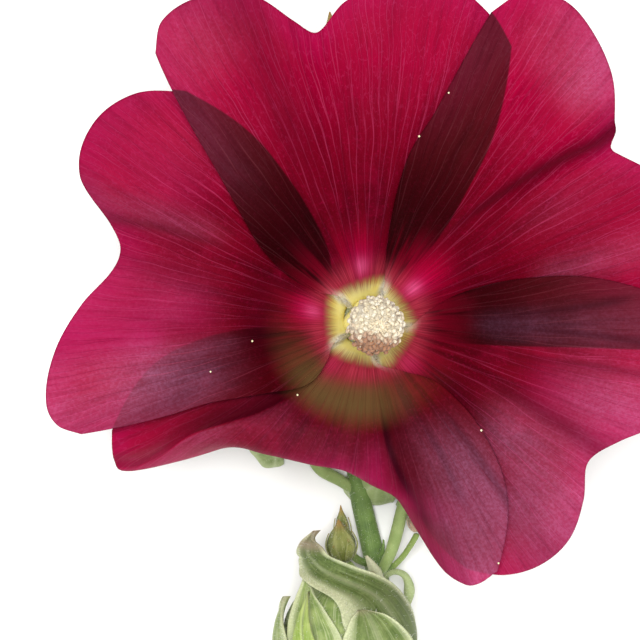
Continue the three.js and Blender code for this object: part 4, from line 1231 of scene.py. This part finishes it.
# %% Stalk and side shoots
STALK_PATH = [(6, -84, 2.3), (4.4, -62, 2.1), (1.9, -43, 1.85), (-1.4, -27, 1.6),
              (-0.9, -12, 1.55), (0, 0, 1.55), (-2.2, 20, 1.5), (-4.9, 42, 2.6)]
STALK_RADIUS = [2.4, 2.2, 2, 1.8, 1.75, 1.75, 1.6, 1.1]
SHOOTS = {
    "bloom": ([(-1.2, -20, 2), (-1.2, -14, 5.6), (-0.6, -6, 9.2), (0, 0, 13), (0, 0, 15.4)],
              [1.5, 1.5, 1.6, 2, 3.1]),
    "fruit": ([(5.4, -77, 2.4), (4.6, -78.4, 8.4), (0.6, -77, 13.8), (-2.6, -74, 15.7),
               (-2.9, -70.6, 15.9)], [1.5, 1.5, 1.5, 1.7, 2.9]),
    "bud": ([(2, -45, 2), (-0.8, -44.4, 5.6), (-3.4, -42.2, 7.9)], [1.1, 0.8, 1.2]),
    "small_bud": ([(1.6, -42.6, 2), (-1.2, -41.6, 4.2), (-3.4, -39.6, 5.4)], [0.9, 0.7, 0.8]),
    "dried_bud": ([(2.6, -45, 2), (6.2, -41.4, 4), (7.9, -38.8, 5.2), (9, -36.8, 5.6)],
                  [0.9, 0.6, 0.55, 0.6]),
    "stub": ([(2.2, -42, 2.6), (3, -39.8, 4.4), (3.1, -37.8, 4.9)], [0.6, 0.5, 0.2]),
    "tip_left": ([(-3.1, 28, 1.8), (-7, 32.6, 2.9), (-9.6, 36, 3.1)], [0.8, 0.8, 1]),
    "tip_right": ([(-2.7, 25, 1.8), (0.8, 29.6, 2.9), (2.7, 33, 3.1)], [0.8, 0.8, 1]),
}


def melted(name, shapes, voxel, smoothing):
    """Shapes joined into one skin by remeshing, as a Shape again."""
    scratch = mesh_object(name, together(shapes))
    remesh = scratch.modifiers.new("melt", "REMESH")
    remesh.mode, remesh.voxel_size = "VOXEL", voxel * MM
    relax = scratch.modifiers.new("relax", "SMOOTH")
    relax.iterations, relax.factor = smoothing, 0.5
    evaluated = scratch.evaluated_get(bpy.context.evaluated_depsgraph_get())
    result = bpy.data.meshes.new_from_object(evaluated)
    points = np.zeros(len(result.vertices) * 3)
    result.vertices.foreach_get("co", points)
    faces = [tuple(face.vertices) for face in result.polygons]
    bpy.data.objects.remove(scratch)
    bpy.data.meshes.remove(result)
    points = points.reshape(-1, 3) / MM
    kept_off_table(points, 0.02)
    return Shape(points, faces)


def ridged(along, angle):
    """Low ridges that wind slowly round the stalk."""
    return 1 + 0.03 * np.cos(5 * angle + 9 * along) + 0.015 * np.cos(13 * angle)


tubes = [tube(STALK_PATH, STALK_RADIUS, 40, 90, ridged)]
tubes += [tube(path, radii, 20, 24) for path, radii in SHOOTS.values()]
stalk = melted("stalk_tubes", tubes, 0.3, 3)

# %% [markdown]
# The melted stalk has lost its painted values, so they are found again from where each point
# lies. The cut end is dry, and the young side shoots are a lighter green than the stalk.

# %% Painting the stalk
path_x, path_y, _ = zip(*STALK_PATH)
x, y, z = stalk.points.T
off_middle = x - np.interp(y, path_y, path_x)
angle_round = np.degrees(np.arctan2(z - 2, off_middle))
cut_end = 1 - smooth_step(-83.9, -83.2, y)
beside = smooth_step(2.2, 3.6, abs(off_middle))
stalk.painted(across=angle_round / 90, along=y / 30, dry=0.5 * cut_end, tone=0.7 * beside)
stalk_hair = down(stalk, 4200, 0.6, 0.02, 0.35)
finished_piece("stalk_and_shoots", together([stalk, stalk_hair]), "stalk", ["stalk"], stalk_skin, pale_down)

# %% [markdown]
# ## Leaves
#
# A hollyhock's upper leaves are small, roundish and shallowly lobed, with a main vein into every
# lobe and a wrinkled, downy blade. The blade is a fan round the end of its petiole. Veins are
# painted from the distance to the nearest lobe's midline, and the blade puffs up between them.

# %% Leaves
LEAVES = {  # petiole, heading, length, and spread to each side: the right one's lobes overlap
    "leaf_left": ([(-1.4, -29.9, 1.3), (-4.4, -27.8, 2.5), (-8.2, -25.4, 3.8), (-10.4, -21, 4.3),
                   (-14.4, -13.8, 4.4)], 118, 18.5, 152),
    "leaf_right": ([(2.4, -44.6, 2.6), (4.6, -39.6, 4.7), (6.4, -32.6, 5), (8.4, -24.6, 4.8)],
                   66, 18, 178),
}
ARCH = 1.2  # how high a blade bulges


def leaf_blade(foot, heading, length, spread):
    """A lobed fan round the end of the petiole, with its veins painted on it."""
    share, turn = np.meshgrid(np.linspace(0, 1, 46), np.linspace(-spread, spread, 190), indexing="ij")
    lobe = 0.86 + 0.14 * np.cos(np.radians(5 * turn))
    teeth = 1 + 0.012 * np.sin(np.radians(turn * 22)) * share**3
    full = length * lobe * (1 - 0.38 * abs(turn / spread) ** 1.6) * teeth
    reach = share * full
    off_vein = abs((turn + 36) % 72 - 36)  # five main veins, 72 degrees apart
    to_vein = reach * np.sin(np.radians(off_vein))
    along_vein = reach * np.cos(np.radians(off_vein))
    rungs = abs((along_vein - 0.8 * to_vein) / 2.4 % 1 - 0.5) * 2
    main = swelling(0, 0.32, to_vein) * smooth_step(0, 1.2, reach)
    side = swelling(1, 0.16, rungs) * smooth_step(1.5, 4, reach) * 0.6
    vein = np.maximum(main, side)
    angle = np.radians(heading + turn)
    pleat = 0.4 * np.cos(np.radians(5 * turn)) * share
    puff = 0.22 * (1 - vein) * smooth_step(0, 0.25, share)
    height = foot[2] + ARCH * np.sin(np.pi * share) - (foot[2] - 0.7) * share**1.5 - pleat + puff
    middle = np.stack([foot[0] + reach * np.cos(angle), foot[1] + reach * np.sin(angle), height], -1)
    half = np.array([0, 0, 1]) * (0.22 - 0.1 * share)[..., None]
    margin = smooth_step(0.9, 1.0, share) * 0.6
    return thin_sheet(middle + half, middle - half, vein=vein, margin=margin, along=share, across=turn / 60)


for name, (petiole, heading, length, spread) in LEAVES.items():
    blade = leaf_blade(petiole[-1], heading, length, spread)
    radii = [0.85, 1.1, 1.05] + [0.8] * (len(petiole) - 3)
    stem = tube(petiole, radii, 16, 30, margin=0.15, tone=0.55)
    fuzz = down(together([blade, stem]), 1200, 0.5, 0.022)
    leaf = together([blade, stem, fuzz])
    kept_off_table(leaf.points, 0.03)
    finished_piece("downy_" + name, leaf, "leaf", [name], leaf_skin, pale_down)

# %% [markdown]
# Where a leaf joins the stalk, a pair of small scales stands, the stipules. One is long and
# hooked, the other is short, pale and pointed. Each is a tube that is pressed in along one side.

# %% Stipules
STIPULES = {
    "stipule_hooked": ([(2.6, -45.2, 3.2), (3.9, -43.9, 6), (5.2, -43.3, 7), (6.7, -43.9, 7.2),
                        (7.5, -45.8, 7.2), (7.3, -49.4, 6.8)], [0.6, 0.45, 0.5, 0.7, 0.95, 0.35]),
    "stipule_left": ([(2.4, -47, 2.6), (2.4, -45.6, 5.4), (1.4, -43, 7.6), (0, -40.4, 8.4)],
                     [0.8, 1, 1.1, 0.25]),
}


def hollowed(along, angle):
    """A scale is a folded strip and not a rod: it is pressed in along one side."""
    return 1 - 0.35 * swelling(0, 0.7, np.angle(np.exp(1j * (angle - 1.2)))) * smooth_step(0.2, 0.5, along)


for name, (path, radii) in STIPULES.items():
    scale = tube(path, radii, 24, 40, hollowed)
    tip = smooth_step(0.82, 1, scale.paint["along"])
    scale.painted(margin=(0.8 if name == "stipule_left" else 0.25) + 0.2 * tip, dry=0.2 * tip)
    piece = together([scale, down(scale, 300, 0.5, 0.02)])
    skin = leaf_skin if name == "stipule_hooked" else scale_skin
    finished_piece("scale_" + name, piece, "leaf", [name], skin, pale_down)

# %% [markdown]
# ## Buds
#
# A bud is closed by its five sepals, edge to edge, which shows as five raised ribs with seams
# between them. Its point is drawn out, and often brown where frost or sun has touched it. Round
# its lower half stand the narrow lobes of the epicalyx.

# %% Buds
BUDS = {  # place, the way it grows, length, radius
    "bud_side": ((-3.9, -41.2, 9.2), (-0.12, 0.96, 0.2), 7.6, 2.55),
    "bud_behind": ((-3.8, -39.2, 5.7), (-0.08, 0.98, 0.16), 7.6, 1.3),
    "bud_dried": ((8.9, -36.4, 5.75), (-0.28, 0.95, 0.1), 4.2, 0.95),
    "bud_tip": ((-5.05, 42.4, 2.75), (-0.1, 0.99, 0.03), 12.4, 2.6),
    "bud_tip_left": ((-9.85, 36.4, 3.2), (-0.55, 0.83, 0), 9, 2.3),
    "bud_tip_right": ((2.9, 33.4, 3.2), (0.5, 0.86, 0), 9.6, 2.4),
}
LEAFLETS = 6
bud_outline = curve_through([(0, 0.3), (0.12, 0.72), (0.38, 1), (0.65, 0.74), (0.85, 0.28), (1, 0.05)])


def bud_body(length, radius):
    """Five sepals edge to edge: ribs, and seams between them that wind a little."""
    rings, sides = 46, 60
    along = np.linspace(0, 1, rings)[:, None]
    angle = np.linspace(0, 2 * np.pi, sides, endpoint=False)[None, :]
    fold = abs(np.sin(2.5 * angle + 1.2 * along))
    seam = (1 - fold) ** 3 * smooth_step(0.15, 0.4, along)
    ribs = 1 + 0.07 * np.cos(5 * angle + 2.4 * along)
    out = radius * bud_outline(along) * ribs - 0.16 * radius * seam * (1 - along)
    grid = np.stack([out * np.cos(angle), out * np.sin(angle), along * length + 0 * angle], -1)
    return closed_lathe(grid, along=along, across=angle / 3, margin=0.7 * seam,
                        dry=0.6 * smooth_step(0.7, 0.97, along))


def bud_leaflet(length, radius, turn, reach):
    """One narrow lobe of the epicalyx, pressed to the bud."""
    across, along = np.meshgrid(np.linspace(-1, 1, 9), np.linspace(0, 1, 16))
    width = 0.42 * (1 - along**2.2) + 0.02
    height = along * reach
    angle = turn + across * width * 0.9

    def face(off):
        out = radius * bud_outline(height) + off + 0.12 * along
        return np.stack([out * np.cos(angle), out * np.sin(angle), height * length], -1)

    edge = smooth_step(0.6, 1.0, abs(across))
    return thin_sheet(face(0.26), face(0.1), along=along, across=across, margin=0.6 * edge,
                      dry=0.3 * (along > 0.9))


def grown(shape, at, towards):
    """A bud modelled along +Z, set at its place and pointing the way it grows."""
    shape.points = turned_to(shape.points, towards, 0.4) + np.array(at)
    return shape


for name, (at, towards, length, radius) in BUDS.items():
    parts = [bud_body(length, radius)]
    for k in range(LEAFLETS):
        turn, reach = 2 * math.pi * k / LEAFLETS + 0.3, 0.5 + 0.1 * (k % 3)
        parts.append(bud_leaflet(length, radius, turn, reach))
    bud = grown(together(parts), at, towards)
    kept_off_table(bud.points, 0.03)
    bud = together([bud, down(bud, 700, 0.4, 0.018)])
    skin, slot = (dry_skin, "dried_bud") if name == "bud_dried" else (bud_skin, "bud")
    finished_piece("closed_" + name, bud, slot, [name], skin, pale_down)

# %% [markdown]
# ## The withered calyx
#
# Below the bloom hangs an older flower that has lost its petals. Its sepals have closed again
# over the young fruit: broad, twisted and overlapping, with pale thin margins, the first of them
# ending in a curved horn. Each sepal is a sheet wrapped round the fruit between two edge lines.
# It is drawn along the fruit's own axis and then laid in place.

# %% The young fruit and how things lie on it
FRUIT_AT = np.array([-3.3, -67.9, 15.9])
FRUIT_LEAN = math.radians(2.4)
fruit_radius = curve_through([(0, 3.3), (4, 7.2), (9, 10), (13.5, 10.9), (18, 10.2), (21, 8.7),
                              (24, 6.8), (27, 4.8), (28.5, 1.4)])


def on_fruit(height, angle, radius):
    """Angles run from straight up to the right. The fruit's own axis points along the stalk."""
    side, up = radius * np.sin(np.radians(angle)), radius * np.cos(np.radians(angle))
    x = side * math.cos(FRUIT_LEAN) - height * math.sin(FRUIT_LEAN)
    y = side * math.sin(FRUIT_LEAN) + height * math.cos(FRUIT_LEAN)
    return np.stack([x, y, up + 0 * height], -1) + FRUIT_AT


SEPALS = [  # edge lines as (height, angle)
    dict(left=[(0, 52), (6, 30), (12, 12), (18, 0), (22.5, -10), (25, -48), (27, -86), (30, -91),
               (33, -77)],
         right=[(0, 112), (6, 112), (12, 106), (18, 98), (23, 80), (25.5, 52), (27.2, 21), (29.2, -14),
                (30.9, -29), (31.9, -56), (33, -76)], lift=0.9, tone=0.95, pale_from=0.38,
         horn=[(0, 0), (25.5, 0), (27, 0.3), (28.5, 3.6), (29.5, 4.1), (31.3, 3.2), (33, 1.2)]),
    dict(left=[(0, -8), (8, -6), (15, -3), (19.3, 5), (20.6, 12)],
         right=[(0, 58), (8, 64), (14.3, 58), (17, 49), (19.7, 34), (20.6, 20)], lift=1.7, tone=0.7),
    dict(left=[(0, -66), (8, -60), (16, -56), (22, -62), (26, -68)],
         right=[(0, -12), (8, 0), (16, -2), (21, -20), (24, -44), (26, -60)], lift=-0.1, tone=0.0),
    dict(left=[(0, -130), (8, -132), (15, -126), (19, -112), (22, -89)],
         right=[(0, -56), (8, -48), (15, -48), (19, -62), (22, -86)], lift=0.9, tone=0.1),
    dict(left=[(0, 118), (8, 108), (16, 104), (21, 96), (25, 130)],
         right=[(0, 222), (8, 230), (16, 232), (21, 214), (25, 160)], lift=-0.1, tone=0.4),
]


# %% [markdown]
# A sepal's edges curl outwards and are thin and pale, its back is ribbed, and its tip is dry. The
# one with the horn has a flare curve besides, which lifts its end off the fruit.

# %% Sepals over the fruit
def withered_sepal(left, right, lift, tone, horn=None, dry=0.0, pale_from=0.6):
    """A sheet between two edge lines, lifted off the fruit by so many millimetres."""
    left_angle, right_angle = curve_through(left), curve_through(right)
    flare = curve_through(horn) if horn else np.zeros_like
    across, along = np.meshgrid(np.linspace(0, 1, 44), np.linspace(0, 1, 76))
    height = left[-1][0] * along**0.85
    angle = (1 - across) * left_angle(height) + across * right_angle(height)
    curl = 0.7 * abs(2 * across - 1) ** 3 * smooth_step(0.1, 0.5, along)
    lines = 0.06 * np.sin(across * 44) * smooth_step(0.05, 0.3, along)
    outside = fruit_radius(height) + lift + curl + flare(height) + 0.4 + lines
    edge = smooth_step(0.82, 1, abs(2 * across - 1))
    pale_left = smooth_step(pale_from, 0.92, 1 - 2 * across)
    pale_right = smooth_step(0.6 + 0.1 * smooth_step(0.5, 0.7, along), 0.97, 2 * across - 1)
    faded = 0.95 * np.maximum(pale_left, pale_right) * smooth_step(0.05, 0.2, along)
    upper = on_fruit(height, angle, outside)
    lower = on_fruit(height, angle, outside - 0.6 + 0.35 * edge)
    tip = smooth_step(0.93, 1.0, along)
    browned = np.maximum(dry * swelling(0.925, 0.03, along), (0.8 if horn else 0.4) * tip)
    return thin_sheet(upper, lower, across=across, along=along, margin=faded, dry=browned,
                      vein=0.4 * swelling(0, 0.05, across - 0.5), tone=tone * smooth_step(0.0, 0.3, along))


FRUIT_LENGTH = 26
round_it, climb = np.meshgrid(np.linspace(0, 360, 60, endpoint=False), np.linspace(0, FRUIT_LENGTH, 40))
fruit = (fruit_radius(climb) - 0.25) * np.sqrt(1 - 0.97 * smooth_step(20.5, FRUIT_LENGTH, climb))
core = closed_lathe(on_fruit(climb, -round_it, fruit), across=round_it / 60, along=climb / FRUIT_LENGTH)
sepals = [withered_sepal(dry=0.8 if "horn" in sepal else 0.0, **sepal) for sepal in SEPALS]
calyx = together([core, *sepals])
calyx = together([calyx, down(calyx, 5500, 0.8, 0.016, crowded=7.0)])
finished_piece("closed_withered_calyx", calyx, "withered_calyx", ["withered_calyx"],
               withered_skin, pale_down)

# %% [markdown]
# Outside the withered calyx stand the seven narrow lobes of its epicalyx, a fresher green. They
# are one sheet all the way round, with a floor under the fruit. Its lobes have tips of their own
# height and direction, and lean from their roots towards them.

# %% The withered epicalyx
EPICALYX_TIPS = [(-32, 23.8), (16, 9.5), (78, 11), (122, 10), (168, 12), (216, 10), (258, 13)]
NOTCH_HEIGHT, FLOOR_SHARE = 3.6, 0.16


def withered_epicalyx():
    lobes, per_lobe, rows = len(EPICALYX_TIPS), 24, 34
    spacing = 360 / lobes
    place = np.linspace(0, lobes, lobes * per_lobe + 1)[None, :]
    nearest = np.round(place)
    offset = place - nearest
    lobe = nearest.astype(int) % lobes
    tips = np.array(EPICALYX_TIPS, float)
    tip_height = tips[lobe, 1]
    reach = NOTCH_HEIGHT + (tip_height - NOTCH_HEIGHT) * (1 - abs(2 * offset)) ** 1.2
    share = np.linspace(0, 1, rows)[:, None]
    climb = np.clip((share - FLOOR_SHARE) / (1 - FLOOR_SHARE), 0, 1)
    height = climb * reach
    root_angle = tips[0, 0] + 15 + nearest * spacing
    tip_angle = tips[lobe, 0] + 360 * (nearest - lobe) / lobes
    leaning = smooth_step(0, 1, height / tip_height) * turn_between(root_angle, tip_angle)
    angle = root_angle + offset * spacing + leaning
    sunk = 1 - smooth_step(0, 3, height)
    pole = smooth_step(0, FLOOR_SHARE, share) ** 0.7

    def face(side):
        out = (fruit_radius(height) + 3.5 + side * 0.3 - 1.8 * sunk) * pole
        return on_fruit(height - 1.4 * (1 - pole) - sunk * (1 - side * 0.4), angle, out)

    edge = smooth_step(0.8, 1.0, share) * smooth_step(0.1, 0.4, abs(offset) + climb * 0.2)
    return thin_sheet(face(1), face(-1), across=place * 2, along=share, margin=0.4 * edge,
                      vein=0.6 * swelling(0, 0.03, offset))


epicalyx = withered_epicalyx()
epicalyx = together([epicalyx, down(epicalyx, 1600, 0.6, 0.02)])
finished_piece("lobed_withered_epicalyx", epicalyx, "withered_calyx", ["withered_epicalyx"],
               young_green, pale_down)

# %% [markdown]
# ## Floor, light and camera
#
# The flower lies on a plain pale table top. An even white sky and one broad light overhead leave
# only faint shadows, as on a bright overcast day, and a second broad light at the foot of the
# picture gives the lower petals their sheen. The camera looks straight down, at the distance from
# which the flower fills the frame as it does in the photograph.

# %% Floor
floor_mesh = bpy.data.meshes.new("table_top")
HALF_SIDE = 1.5
corners = [(x * HALF_SIDE, y * HALF_SIDE, 0) for x, y in ((-1, -1), (1, -1), (1, 1), (-1, 1))]
floor_mesh.from_pydata(corners, [], [(0, 1, 2, 3)])
floor = bpy.data.objects.new("table_top", floor_mesh)
bpy.context.scene.collection.objects.link(floor)
f = Finish("pale_table_top")
pale = f.mix(f.noise(f.where(), 0.01), shade("#f4f4f2"), shade("#f8f8f7"))
floor_mesh.materials.append(f.done(f.surface(pale, 0.85, None, specular=0.1)))
floor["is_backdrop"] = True

# %% Lights
def soft_light(name, place, target, size, power):
    """A round lamp turned to its target. Place and size are in metres, power is in watts."""
    light = bpy.data.lights.new(name, "AREA")
    light.shape, light.size, light.energy = "DISK", size, power
    made = bpy.data.objects.new(name, light)
    made.location = place
    bpy.context.scene.collection.objects.link(made)
    way = np.array(target) - np.array(place)
    made.rotation_euler = Vector(way).to_track_quat("-Z", "Y").to_euler()
    print(f"{name}: {power} W from {np.linalg.norm(way):.2f} m away")


BLOOM_MIDDLE = (0, 0, 0.02)
soft_light("overhead", (-0.05, 0.1, 0.9), BLOOM_MIDDLE, 0.5, 9.0)
soft_light("from_the_foot", (0.15, -0.8, 0.45), BLOOM_MIDDLE, 0.6, 4.0)
world = bpy.data.worlds.new("even_daylight")
world.use_nodes = True
sky = world.node_tree.nodes["Background"]
sky.inputs[0].default_value, sky.inputs[1].default_value = (1.0, 1.0, 1.0, 1.0), 0.52
bpy.context.scene.world = world
bpy.context.scene.view_settings.view_transform = "Standard"

# %% Camera
camera_data = bpy.data.cameras.new("photo_view")
camera_data.sensor_width, camera_data.lens = 36.0, 114.75
camera = bpy.data.objects.new("photo_view", camera_data)
camera.location = (-8 * MM, 0.5 * MM, 362 * MM)
bpy.context.scene.collection.objects.link(camera)
bpy.context.scene.camera = camera
print("angle of view:", round(math.degrees(camera_data.angle), 1), "degrees")

# %% [markdown]
# ## Measuring the result
#
# The box of the dressed flower is printed, in millimetres.

# %% Measuring the result
visual_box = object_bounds()
for low, high, axis in zip(visual_box[0], visual_box[1], "XYZ"):
    print(f"{axis}: {1000 * low:.1f} to {1000 * high:.1f} mm")
